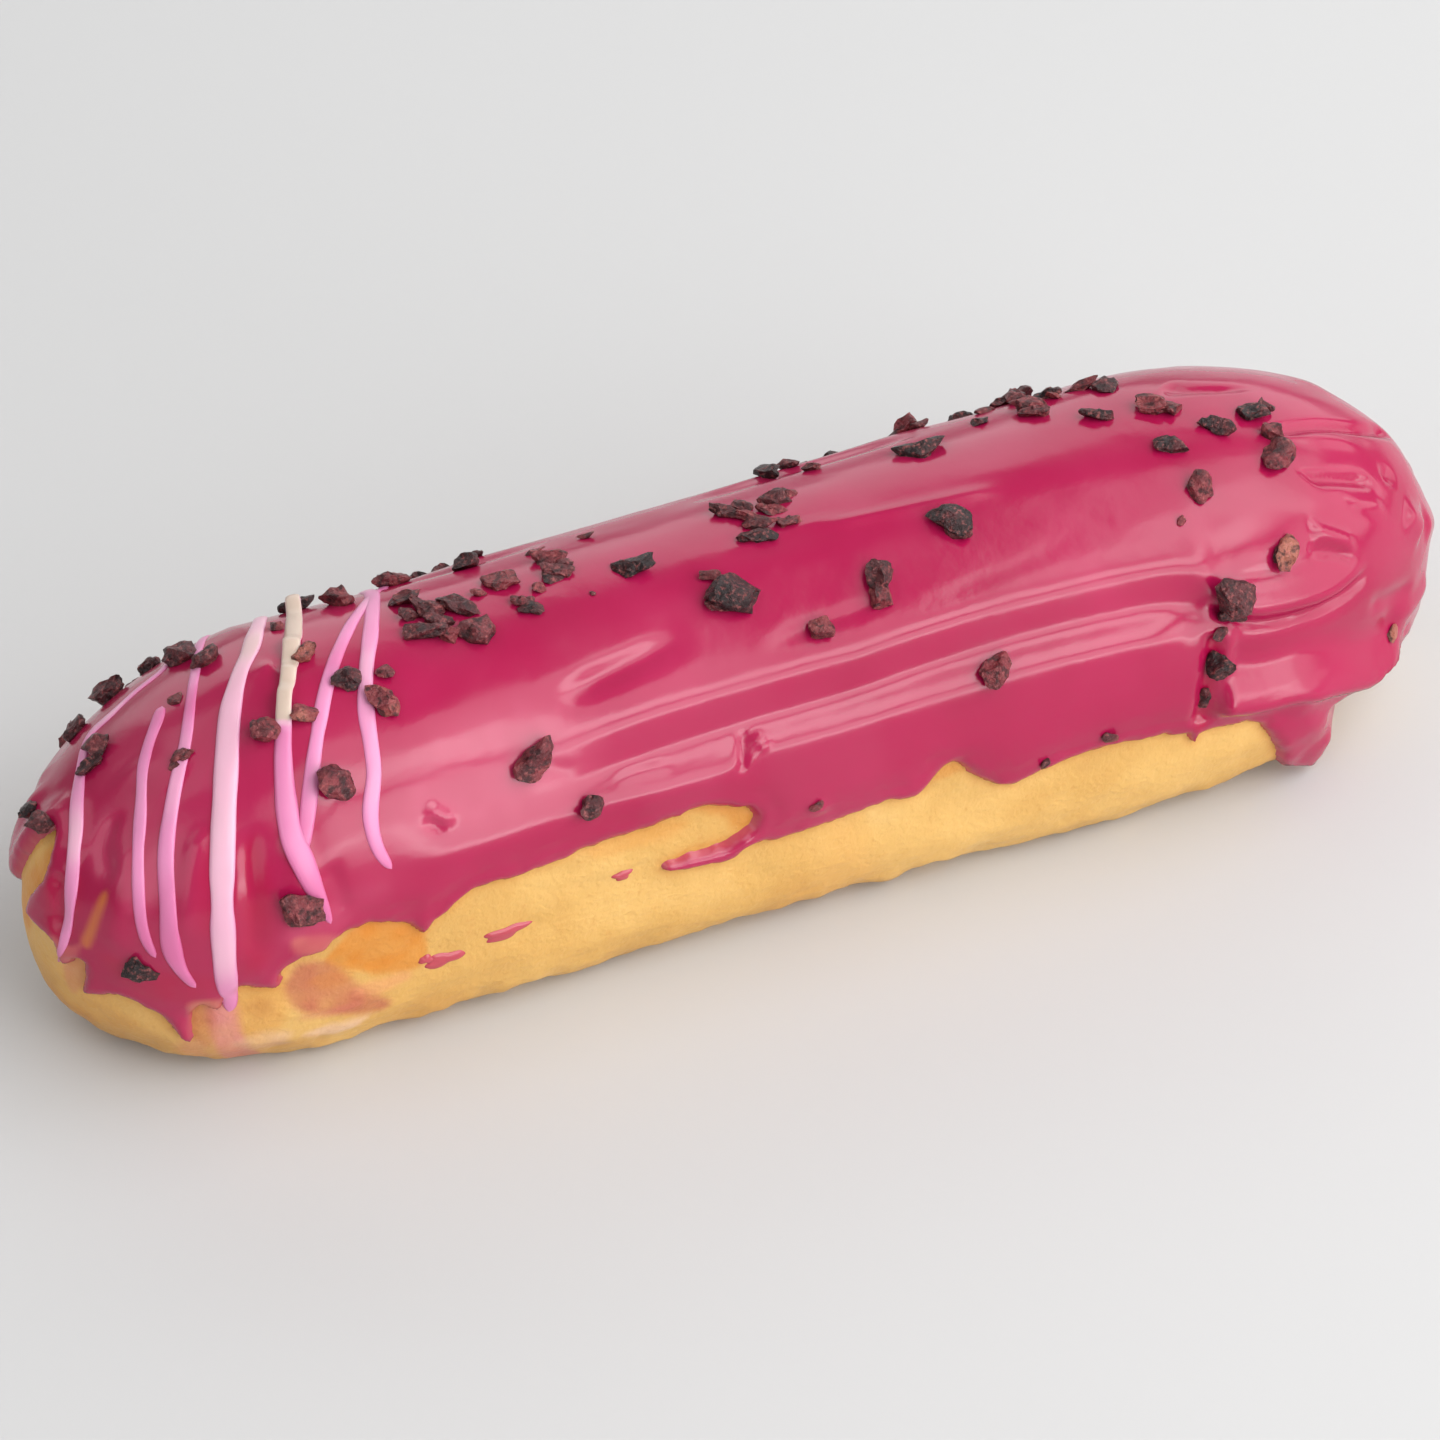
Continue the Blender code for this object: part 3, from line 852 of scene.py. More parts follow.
# (points as (s, z mm), (across, heights), taper at both ends, scale at both ends, size)
FOLDS = (
    # near side: the shoulder with a steep wall under it, and the channel between its two bands
    (((0.04, 24.6), (0.15, 24.5), (0.23, 24.8), (0.31, 24.8), (0.38, 24.4), (0.425, 24.5), (0.46, 25.4), (0.52, 25.5), (0.59, 25.6), (0.66, 26.0), (0.75, 26.3), (0.83, 26.4), (0.90, 26.2), (0.985, 25.5)), SHOULDER, (0.10, 0.06), (1, 1), 1.0),
    (((0.18, 27.2), (0.25, 27.4), (0.32, 27.8), (0.40, 28.1), (0.48, 28.2), (0.59, 28.3), (0.66, 28.7), (0.74, 29.0), (0.80, 29.1), (0.91, 28.9), (0.965, 28.5), (1.000, 27.4), (1.020, 26.4)), CHANNEL, (0.22, 0.06), (1.15, 1.0), 1.0),
    (((1.000, 28.0), (1.020, 26.6), (1.045, 25.0), (1.075, 24.2), (1.105, 23.7), (1.14, 23.3), (1.19, 23.6), (1.23, 24.6)), CREASE, (0.10, 0.22), (1.0, 0.9), 1.0),
    # plain end: a ledge that stands proud over the foot
    (((0.998, 17.0), (1.03, 16.0), (1.06, 15.4), (1.10, 15.0), (1.14, 13.5), (1.18, 11.8), (1.21, 10.9), (1.26, 10.6), (1.29, 10.6)), LEDGE, (0.05, 0.16), (1.25, 1.1), 1.0),
    # far side, made like the near one
    (((2.04, 25.0), (2.20, 25.6), (2.45, 25.2), (2.70, 25.8), (2.96, 24.8)), SHOULDER, (0.10, 0.10), (1, 1), 1.0),
    (((2.10, 29.6), (2.30, 29.2), (2.55, 29.8), (2.82, 29.0)), CHANNEL, (0.18, 0.18), (1, 1), 1.0),
    (((1.62, 14.6), (1.74, 13.6), (1.86, 15.6)), LEDGE, (0.25, 0.25), (0.7, 0.7), 1.0),
)
CROWN = float(envelope(np.array([0.7]), np.array([0.957]))[0, 2] * 1000)  # height just on the near side of the crown
# (points as (s, z mm), size mm, half-width mm, taper)
STROKES = (
    # short channel high on the near side, and a low ridge along the crown
    (((0.255, 33.9), (0.30, 34.4), (0.345, 34.8), (0.39, 35.1), (0.44, 35.4)), -0.60, 1.45, 0.35),
    (((0.60, CROWN), (0.68, CROWN), (0.76, CROWN), (0.84, CROWN)), 0.30, 0.75, 0.25),
    (((0.50, CROWN), (0.58, CROWN + 0.1), (0.66, CROWN + 0.1)), 0.16, 0.7, 0.3),
    (((0.50, 33.6), (0.58, 34.0), (0.66, 34.2)), -0.16, 0.9, 0.3),
    (((0.66, 33.4), (0.78, 34.2), (0.90, 35.0)), -0.08, 1.0, 0.3),
    # seam by the plain end
    (((1.006, 25.2), (0.996, 21.8), (0.989, 18.4), (0.984, 14.4)), -0.90, 0.95, 0.10),
    # plain end: folds and creases
    (((1.03, 29.6), (1.08, 29.0), (1.13, 28.3), (1.175, 27.4)), -0.18, 0.65, 0.25),
    (((1.170, 30.6), (1.195, 28.7), (1.215, 26.8)), 0.55, 0.95, 0.25),
    (((1.145, 29.2), (1.178, 27.9), (1.206, 26.3)), -0.60, 0.65, 0.25),
    (((1.240, 33.4), (1.270, 32.4), (1.300, 31.0), (1.325, 29.6)), -0.85, 0.85, 0.2),
    (((1.25, 30.6), (1.27, 29.2), (1.30, 27.6)), 0.35, 1.0, 0.3),
    (((1.34, 35.6), (1.385, 34.9), (1.42, 33.6), (1.445, 31.4), (1.475, 29.2), (1.512, 26.8)), -0.85, 0.9, 0.15),
    (((1.33, 35.4), (1.37, 33.6), (1.40, 31.0)), 0.30, 1.3, 0.3),
    (((1.80, 36.8), (1.72, 36.9), (1.65, 36.6), (1.569, 35.8)), -0.50, 0.85, 0.25),
    (((1.322, 25.6), (1.335, 23.4), (1.345, 21.6)), 0.75, 1.9, 0.3),
    (((1.355, 29.4), (1.365, 27.8)), -0.45, 1.1, 0.3),
    (((1.20, 20.6), (1.25, 18.8), (1.30, 17.6)), -0.40, 1.0, 0.25),
    (((1.24, 16.0), (1.30, 14.8), (1.37, 14.6)), 0.45, 1.3, 0.25),
    # run at the plain end
    (((1.105, 12.6), (1.130, 8.6), (1.150, 5.4), (1.158, 2.4)), 0.85, 2.2, 0.0),
    (((1.160, 5.0), (1.162, 3.4), (1.160, 1.8)), 0.75, 1.8, 0.0),
    (((1.36, 21.6), (1.40, 19.6), (1.43, 17.6)), 0.55, 1.6, 0.2),
    (((1.455, 22.4), (1.46, 21.0)), -0.65, 1.2, 0.0),
    (((3.385, 23.8), (3.39, 21.4), (3.395, 19.0)), 0.70, 2.0, 0.0),
    # creases, bumps and pits of the near side
    (((0.462, 27.9), (0.453, 25.8), (0.447, 23.8)), -0.38, 0.5, 0.2),
    (((0.470, 27.2), (0.480, 25.6)), 0.30, 0.6, 0.2),
    (((0.104, 28.9), (0.110, 28.4), (0.116, 28.0)), 0.34, 0.75, 0.0),
    (((0.098, 27.9), (0.106, 27.4)), -0.30, 0.55, 0.0),
    (((0.530, 17.6), (0.536, 17.0)), 0.32, 0.8, 0.0),
    (((0.30, 26.6), (0.34, 26.8), (0.38, 26.5)), 0.16, 0.6, 0.3),
    (((0.20, 30.6), (0.24, 29.6), (0.27, 28.2)), -0.14, 0.9, 0.3),
    # drizzled end: folds that run down it
    (((3.60, 30.0), (3.63, 27.0), (3.68, 25.2)), -0.34, 1.1, 0.25),
    (((3.66, 29.0), (3.69, 24.0), (3.70, 18.0)), 0.32, 1.5, 0.2),
    (((3.78, 31.0), (3.79, 26.0), (3.79, 20.0)), 0.34, 1.5, 0.2),
    (((3.865, 31.0), (3.875, 25.0), (3.88, 18.0)), -0.42, 1.3, 0.2),
    (((3.925, 31.0), (3.935, 26.0), (3.945, 21.0)), 0.34, 1.4, 0.2),
    (((3.975, 27.0), (3.985, 24.0), (3.99, 21.4)), -0.30, 1.1, 0.2),
    (((3.52, 31.0), (3.60, 32.6), (3.72, 33.0)), 0.26, 1.8, 0.25),
    (((3.46, 26.0), (3.47, 23.0), (3.455, 19.6)), 0.40, 1.2, 0.2),
    (((3.57, 24.0), (3.60, 21.0), (3.61, 18.0)), -0.34, 0.9, 0.2),
    (((3.20, 26.0), (3.28, 24.0), (3.36, 24.6)), 0.34, 1.6, 0.25),
    (((3.08, 30.0), (3.14, 26.0), (3.16, 20.0)), -0.34, 1.3, 0.2),
    # far side
    (((2.18, 34.6), (2.36, 34.0), (2.50, 34.8)), -0.48, 1.3, 0.3),
    (((2.62, 34.0), (2.78, 34.8), (2.90, 34.0)), -0.36, 1.2, 0.3),
    (((1.42, 24.0), (1.58, 24.8), (1.76, 24.0)), -0.42, 1.1, 0.2),
    (((1.40, 20.0), (1.56, 19.0), (1.74, 20.4)), 0.36, 1.7, 0.2),
    (((1.56, 31.0), (1.72, 30.0), (1.88, 31.4)), 0.30, 1.6, 0.2),
    (((2.33, 27.6), (2.345, 24.6), (2.34, 22.0)), -0.32, 0.55, 0.2),
    (((2.66, 23.0), (2.67, 20.0)), 0.30, 0.9, 0.2),
)
# colour, strength, softness mm, outline
ICING_BLOTS = (
    (CRIMSON, 0.75, 1.2, ((3.858, 29.0), (3.885, 29.4), (3.900, 24.0), (3.895, 18.0), (3.865, 16.6), (3.860, 22.0))),
    (CRIMSON, 0.60, 1.0, ((3.68, 17.5), (3.76, 17.0), (3.84, 16.0), (3.80, 13.0), (3.72, 13.5))),
    (CRIMSON, 0.55, 0.9, ((3.56, 22.6), (3.62, 24.0), (3.63, 19.0), (3.59, 17.6))),
    (CRIMSON, 0.45, 1.2, ((3.80, 31.0), (3.84, 31.0), (3.84, 23.0), (3.81, 22.0))),
    (DUSK, 0.65, 1.2, ((3.58, 29.6), (3.66, 28.0), (3.69, 25.4), (3.64, 25.2), (3.58, 27.4))),
    (DUSK, 0.35, 2.0, ((3.50, 34.0, 9.0, 4.0),)),
    (DUSK, 0.45, 1.2, ((0.0, 22.6, 4.0, 1.6),)),
    (BLUSH, 0.50, 1.2, ((3.725, 25.6, 1.8, 3.4),)),
    (BLUSH, 0.40, 3.0, ((0.11, 34.4), (0.20, 35.0), (0.27, 34.4), (0.29, 31.0), (0.26, 27.0), (0.14, 26.0), (0.06, 28.0))),
    (BLUSH, 0.45, 1.0, ((3.955, 20.8, 3.4, 1.8),)),
    (ROSE, 0.60, 0.5, ((3.925, 20.0), (3.965, 19.6), (3.985, 18.2), (3.96, 17.2), (3.93, 17.8))),
    (ORANGE, 0.55, 0.5, ((3.645, 18.4), (3.652, 20.6), (3.662, 23.8), (3.672, 23.6), (3.668, 20.4), (3.658, 18.0))),
    (PEACH, 0.45, 0.5, ((3.795, 12.6), (3.83, 13.0), (3.835, 11.6), (3.80, 10.6))),
    (ROSE, 0.50, 0.4, ((3.595, 17.8), (3.625, 17.4), (3.645, 18.0), (3.63, 15.2), (3.60, 15.4))),
    (CRIMSON, 0.70, 0.5, ((1.000, 25.6), (1.012, 25.2), (1.004, 21.0), (0.997, 17.4), (0.992, 13.8), (0.978, 13.8), (0.983, 18.0), (0.990, 22.0))),
    (DUSK, 0.30, 2.0, ((2.20, 33.0, 12.0, 3.0),)),
    (CRIMSON, 0.45, 1.2, ((3.10, 22.0, 1.8, 5.0),)),
)


def icing_relief(aa, ww, points):
    """Lengthwise folds, channels, creases and dents of the coat, in mm."""
    mm = points * 1000
    total = 0.09 * fractal(mm / np.array([24.0, 10.0, 10.0]), 2, 61)
    total = total + 0.035 * fractal(mm / np.array([8.0, 4.0, 4.0]), 2, 67)
    total = total + 0.010 * fractal(mm / np.array([2.4, 1.6, 1.6]), 2, 69)
    for line, (across, heights), taper, scale, size in FOLDS:
        total = total + fold(line, aa, ww, across, heights, taper, scale, size)
    for line, size, half, taper in STROKES:
        total = total + stroke(line, aa, ww, size, half, taper)
    return total


# small specks of icing on the bare side: s, z mm, half-length mm, half-height mm, tilt
SPECKS = (
    (0.312, 14.6, 1.10, 0.70, 0.05),
    (0.176, 11.8, 2.65, 0.85, 0.08),
    (0.104, 10.7, 2.30, 0.85, 0.10),
    (0.085, 11.3, 0.9, 0.55, -0.2),
    (2.33, 11.0, 1.6, 0.6, -0.1),
    (2.66, 12.6, 1.1, 0.7, 0.2),
)


def make_icing(material):
    edge = edge_line()
    count = int(round(ROUND / GRID_MM))
    way = (np.arange(count) + 0.5) * ROUND / count
    # lowest point of the edge near each column
    lowest = np.full(count, 99.0)
    for p in edge:
        d = np.abs((way - p[0] + ROUND / 2) % ROUND - ROUND / 2)
        lowest = np.where(d < 6.2, np.minimum(lowest, p[1]), lowest)
    kernel = np.hanning(29)
    kernel /= kernel.sum()
    soft = np.convolve(np.concatenate([lowest[-30:], lowest, lowest[:30]]), kernel, mode="same")[30:-30]
    bottom = np.maximum(soft - 0.9, 1.0)
    top = SECTION_WAY * 1000 * 0.990
    # rows lie closer over the lower part, where the edge is
    u = np.linspace(0, 1, 101)
    share = 0.74 * u + 0.26 * u**2.2
    up = bottom[:, None] + (top - bottom)[:, None] * share[None, :]
    ss, vv, aa, ww = grid(up)

    near, _, _ = away(edge, aa, ww, 5.0)
    inside = crossings(edge, aa, ww) % 2 == 0
    depth = np.where(inside, near, -near)

    base = envelope(ss, vv)
    n = normals(ss, vv)
    mm = base * 1000
    depth = depth + (0.20 * noise(mm / 1.5, 71) + 0.12 * noise(mm / 0.65, 73)) * (near < 3)
    crust, _ = crust_surface(ss, vv)
    crust_off = ((crust - base) * n).sum(-1) * 1000  # mm, negative inside
    lip_round = 1.0 + 0.25 * noise(mm / 6.0, 75)
    rounded = np.sqrt(np.clip(1 - (1 - np.clip(depth / lip_round, 0, 1)) ** 2, 0, 1))
    lip = 0.80 + 0.16 * noise(mm / 9.0, 77)
    thick = ICING_DEPTH * (lip + (1 - lip) * smoothstep(0.5, 3.5, depth)) * rounded
    thick = thick + 0.16 * np.exp(-(((depth - 1.3) / 0.8) ** 2)) * (depth > 0)
    relief = icing_relief(aa, ww, base) * smoothstep(0.1, 1.6, depth)
    # far from the edge the coat follows the smooth envelope, near it the crust
    blend = smoothstep(1.0, 5.0, depth)
    surface = (crust_off + thick) * (1 - blend) + np.maximum(0.0, crust_off + 0.5) * blend
    surface = np.where(depth > 0, np.maximum(surface + relief, crust_off + 0.3 * rounded), crust_off + np.maximum(depth * 1.6, -0.45))
    points = base + n * (surface * MM)[..., None]
    points[..., 2] = np.maximum(points[..., 2], 0.0012)

    verts, faces = ring_mesh(points)
    verts = [tuple(p) for p in verts]
    n_rows = points.shape[1]
    index = np.arange(count * n_rows).reshape(count, n_rows)
    for f in crown_strip(points[:, -1], count):
        faces.append(tuple(int(index[i, -1]) for i in f))
    # liner: the hidden inner face of the coat
    rows = np.linspace(0.05, 0.97, 8)
    s2, v2, _, _ = grid(bottom[:, None] + (top - bottom)[:, None] * rows[None, :])
    crust2, n2 = crust_surface(s2, v2)
    inner = crust2 - n2 * 0.0008
    last = index[:, 0]
    for k in range(inner.shape[1]):
        start = len(verts)
        verts.extend(tuple(p) for p in inner[:, k])
        now = np.arange(start, start + count)
        for i in range(count):
            j = (i + 1) % count
            faces.append((int(last[i]), int(now[i]), int(now[j]), int(last[j])))
        last = now
    for f in crown_strip(inner[:, -1], count):
        faces.append(tuple(int(last[i]) for i in f[::-1]))
    obj = new_object("raspberry_icing_coat", verts, faces, material)

    field = np.zeros((*aa.shape, 4))
    mist = 0.25 * smoothstep(0.05, 0.7, fractal(mm / 13.0, 2, 93))
    over(field, DUSK, mist)
    for colour, much, soft, outline_ in ICING_BLOTS:
        over(field, colour, much * blot(outline_, aa, ww, soft) * (0.85 + 0.25 * noise(mm / 1.8, 95)))
    over(field, ROSE, 0.42 * np.exp(-((np.maximum(depth, 0) / 0.30) ** 2)))
    tint = np.zeros((len(verts), 4))
    tint[: count * n_rows] = field.reshape(-1, 4)
    add_colour(obj, "tint", tint)
    return obj


def surface_tree(objects):
    verts, faces = [], []
    for obj in objects:
        start = len(verts)
        verts.extend(v.co.copy() for v in obj.data.vertices)
        faces.extend([start + i for i in p.vertices] for p in obj.data.polygons)
    return BVHTree.FromPolygons(verts, faces)


def place(tree, u, v):
    """Point and normal where the view line through a place in the photograph's frame meets the eclair."""
    hit, normal, _, _ = tree.ray_cast(Vector(EYE), Vector(ray_of(u, v)))
    if hit is None:
        # past the outline: the nearest point of the surface
        way = ray_of(u, v)
        best = None
        for t in np.linspace(CAMERA_WAY - 0.09, CAMERA_WAY + 0.09, 60):
            found, normal_, _, far = tree.find_nearest(Vector(EYE + way * t))
            if found is not None and (best is None or far < best[2]):
                best = (found, normal_, far)
        hit, normal = best[0], best[1]
    if normal.dot(Vector(BACK)) < -0.2:
        normal = -normal
    return np.array(hit), np.array(normal)


def smooth_path(points, step):
    """Evenly spaced points on a smooth curve through the points."""
    at = np.asarray(points, float)
    at = np.concatenate([2 * at[:1] - at[1:2], at, 2 * at[-1:] - at[-2:-1]])
    out = []
    for i in range(1, len(at) - 2):
        a, b, c, d = at[i - 1 : i + 3]
        u = np.linspace(0, 1, 24, endpoint=False)[:, None]
        out.append(0.5 * (2 * b + (c - a) * u + (2 * a - 5 * b + 4 * c - d) * u**2 + (3 * b - a - 3 * c + d) * u**3))
    out.append(at[-2][None])
    line = np.concatenate(out)
    way = np.concatenate([[0], np.cumsum(np.linalg.norm(np.diff(line, axis=0), axis=1))])
    count = max(int(way[-1] / step), 4)
    even = np.linspace(0, way[-1], count)
    return np.stack([np.interp(even, way, line[:, k]) for k in range(line.shape[1])], -1), even


# Drizzle lines: (u, v, width px) in the photograph's frame, then how far each runs down the far side (mm) with its drift.
DRIZZLE = (
    (((176, 652, 9), (165, 668, 10), (132, 695, 11), (107, 719, 12), (90, 735, 14), (80, 775, 16), (76, 830, 17), (72, 880, 17), (68, 925, 14), (61, 950, 9), (58, 962, 5)), 12, -2.0, 0.55, 0),
    (((162, 706, 12), (157, 722, 16), (147, 750, 14), (141, 805, 14), (138, 866, 15), (141, 921, 15), (148, 945, 12), (156, 958, 7)), 0, 0.0, 0.30, 0),
    (((199, 646, 12), (196, 668, 13), (190, 707, 13), (184, 750, 15), (173, 799, 17), (166, 851, 19), (168, 906, 20), (172, 950, 24), (182, 972, 16), (196, 988, 8)), 16, 3.0, 0.34, 0),
    (((262, 620, 17), (252, 645, 20), (240, 672, 21), (230, 713, 25), (226, 774, 27), (223, 835, 28), (222, 897, 27), (225, 967, 25), (230, 1000, 17), (229, 1012, 7)), 24, -3.0, 0.64, 0),
    (((296, 605, 17), (293, 640, 18), (289, 672, 18), (286, 700, 18), (283, 744, 18), (285, 790, 21), (291, 835, 28), (303, 862, 30), (314, 888, 22), (324, 908, 14), (331, 924, 6)), 20, 2.0, 0.90, 1),
    (((362, 608, 12), (347, 632, 14), (334, 662, 14), (324, 698, 15), (315, 750, 17), (310, 793, 18), (306, 830, 16), (306, 850, 8)), 18, 4.0, 0.28, 0),
    (((374, 596, 17), (371, 630, 17), (366, 672, 17), (366, 710, 18), (371, 745, 18), (374, 774, 17), (370, 814, 18), (376, 845, 16), (386, 862, 11), (392, 869, 5)), 26, -2.0, 0.52, 0),
)


def make_drizzle(material, tree, px_mm):
    verts, faces, tone = [], [], []
    crown_z = HEIGHT * 0.985
    for number, (spots, far_mm, drift, shade, bumpy) in enumerate(DRIZZLE):
        hits = []
        for u, v, width in spots:
            p, n = place(tree, u, v)
            hits.append((*p, width * px_mm))
        hits = np.array(hits)
        if far_mm:
            first = hits[0, :3]
            # carry the line over the crown and down the far side
            extra = []
            steps = max(int(far_mm / 3), 2)
            lead = first - hits[2, :3]
            slope = float(np.clip(lead[0] / max(lead[1], 1e-4), -0.8, 0.8))
            for k in range(1, steps + 1):
                share = k / steps
                y = first[1] + far_mm * MM * share * (0.78 if share < 0.6 else 0.70)
                x = first[0] + drift * MM * share + slope * 0.006 * (1 - math.exp(-(y - first[1]) / 0.006))
                probe = Vector((x, y, 0.08))
                hit, _, _, _ = tree.ray_cast(probe, Vector((0, 0, -1)))
                if hit is None or hit[2] < 0.016:
                    break
                extra.append((*hit, hits[0, 3] * (1.0 if share < 0.7 else 1.0 - (share - 0.7) * 1.6)))
            if extra:
                hits = np.concatenate([np.array(extra)[::-1], hits])
        line, even = smooth_path(hits, 0.00045)
        total = len(line)
        if far_mm:
            # the far part bends softly into the near one
            begin = int(np.argmin(np.linalg.norm(line[:, :3] - first, axis=1)))
            blend = 1 - smoothstep(0.0, 0.0045, even - even[begin])
            window = np.hanning(37)
            window /= window.sum()
            for axis in range(3):
                padded = np.pad(line[:, axis], 18, mode="reflect", reflect_type="odd")
                soft = np.convolve(padded, window, mode="valid")
                line[:, axis] += (soft - line[:, axis]) * blend
        # keep the line on the surface
        rings = []
        frames = []
        for k in range(total):
            found, normal, _, _ = tree.find_nearest(Vector(line[k, :3]))
            normal = np.array(normal)
            centre = np.array(found)
            outward = centre - np.array([np.clip(centre[0], -0.05, 0.045), 0, 0.014])
            if normal @ outward < 0:
                normal = -normal
            frames.append((centre, normal))
        centres = np.array([f[0] for f in frames])
        ns = np.array([f[1] for f in frames])
        for _ in range(4):
            ns[1:-1] = (ns[:-2] + 2 * ns[1:-1] + ns[2:]) / 4
            centres[1:-1] = (centres[:-2] + 2 * centres[1:-1] + centres[2:]) / 4
        ns /= np.linalg.norm(ns, axis=1, keepdims=True)
        tangents = np.gradient(centres, axis=0)
        tangents /= np.linalg.norm(tangents, axis=1, keepdims=True)
        across = np.cross(tangents, ns)
        across /= np.linalg.norm(across, axis=1, keepdims=True)
        width = line[:, 3]
        wob = 1 + 0.10 * noise(np.stack([even * 1000 / 3.2, 0 * even + number * 5, 0 * even], -1), 81)
        half = width / 2 * wob * 0.90
        ends = np.clip(np.minimum(even, even[-1] - even) / 0.0009, 0, 1)
        ends = np.sqrt(np.clip(1 - (1 - ends) ** 2, 0.0, 1))
        height = (0.23 * half + 0.00010) * (1 + 0.18 * noise(np.stack([even * 1000 / 2.1, 0 * even, 0 * even + number * 9], -1), 83))
        height = np.minimum(height, 0.00047)
        if bumpy:
            knot = np.zeros(total)
            for u, v, high, reach in ((294, 612, 1.5, 1.6), (292, 650, 1.1, 1.4), (289, 676, 0.9, 1.2), (287, 700, 1.3, 1.4), (287, 716, 0.8, 1.0)):
                p, _ = place(tree, u, v)
                knot += high * MM * np.exp(-((np.linalg.norm(centres - p, axis=1) * 1000 / reach) ** 2))
            lift = knot
        else:
            lift = np.zeros(total)
        ring_count = 14
        angle = np.linspace(0, 2 * math.pi, ring_count, endpoint=False)
        start = len(verts)
        pale = np.clip(shade + 0.18 * noise(np.stack([even * 1000 / 5.0, 0 * even + number, 0 * even], -1), 85), 0, 1)
        if bumpy:
            # cream at the top of this line, pink below
            low, _ = place(tree, 287, 724)
            on_near = smoothstep(low[1] - 0.0006, low[1] + 0.0006, centres[:, 1])
            pale = np.clip(0.26 * (1 - on_near) + on_near, 0, 1)
        fade = smoothstep(0.0, 0.0110, even[-1] - even)
        pale = pale * (0.35 + 0.65 * fade)
        for k in range(total):
            for j, t in enumerate(angle):
                c, s_ = math.cos(t), math.sin(t)
                up = s_ * height[k] if s_ > 0 else s_ * 0.00045
                side = half[k] * np.sign(c) * abs(c) ** 0.85
                p = centres[k] + across[k] * side * ends[k] + ns[k] * (up * ends[k] + lift[k])
                # hug the surface at the sides
                verts.append(p)
                tone.append(pale[k] + 0.10 * (s_ > 0.5) - 0.22 * (s_ < 0.25))
        for k in range(total - 1):
            for j in range(ring_count):
                i = (j + 1) % ring_count
                a = start + k * ring_count
                b = a + ring_count
                faces.append((a + j, b + j, b + i, a + i))
        faces.append(tuple(start + j for j in range(ring_count)))
        faces.append(tuple(start + (total - 1) * ring_count + j for j in range(ring_count))[::-1])
    obj = new_object("pink_drizzle_lines", verts, faces, material)
    fix_normals(obj)
    add_attribute(obj, "tone", np.clip(tone, 0, 1))
    return obj


def fix_normals(obj):
    mesh = bmesh.new()
    mesh.from_mesh(obj.data)
    bmesh.ops.recalc_face_normals(mesh, faces=mesh.faces)
    mesh.to_mesh(obj.data)
    mesh.free()


# ------------------------------------------------------------------ cocoa nibs
def ball(level):
    mesh = bmesh.new()
    bmesh.ops.create_icosphere(mesh, subdivisions=level, radius=1.0)
    verts = np.array([v.co for v in mesh.verts])
    faces = [tuple(v.index for v in f.verts) for f in mesh.faces]
    mesh.free()
    return verts, faces


def nib_shape(base, rng, long, wide, high):
    """One broken chip: a ball cut by flat breaks, bent and roughened."""
    p = base.copy()
    for _ in range(rng.integers(8, 12)):
        n = rng.normal(size=3)
        n /= np.linalg.norm(n)
        d = rng.uniform(0.45, 0.80)
        over = np.maximum(p @ n - d, 0)
        p -= n * over[:, None] * 0.97
    # one scooped side
    n = rng.normal(size=3)
    n[2] = abs(n[2]) + 0.4
    n /= np.linalg.norm(n)
    centre = n * rng.uniform(1.15, 1.35)
    radius = rng.uniform(0.75, 0.95)
    d = np.linalg.norm(p - centre, axis=1)
    push = np.maximum(radius - d, 0)
    p += (p - centre) / np.maximum(d, 1e-6)[:, None] * push[:, None] * 0.8
    p = p / np.abs(p).max(axis=0)
    p[:, 2] += rng.uniform(-0.2, 0.25) * p[:, 0] ** 2
    q = p * np.array([long, wide, high])
    rough = fractal(q * 1000 / 0.70 + rng.uniform(0, 50), 3, int(rng.integers(0, 999)), 0.6)
    n = p / np.maximum(np.linalg.norm(p, axis=1, keepdims=True), 1e-6)
    return q + n * (rough * min(0.00024, 0.15 * long))[:, None]


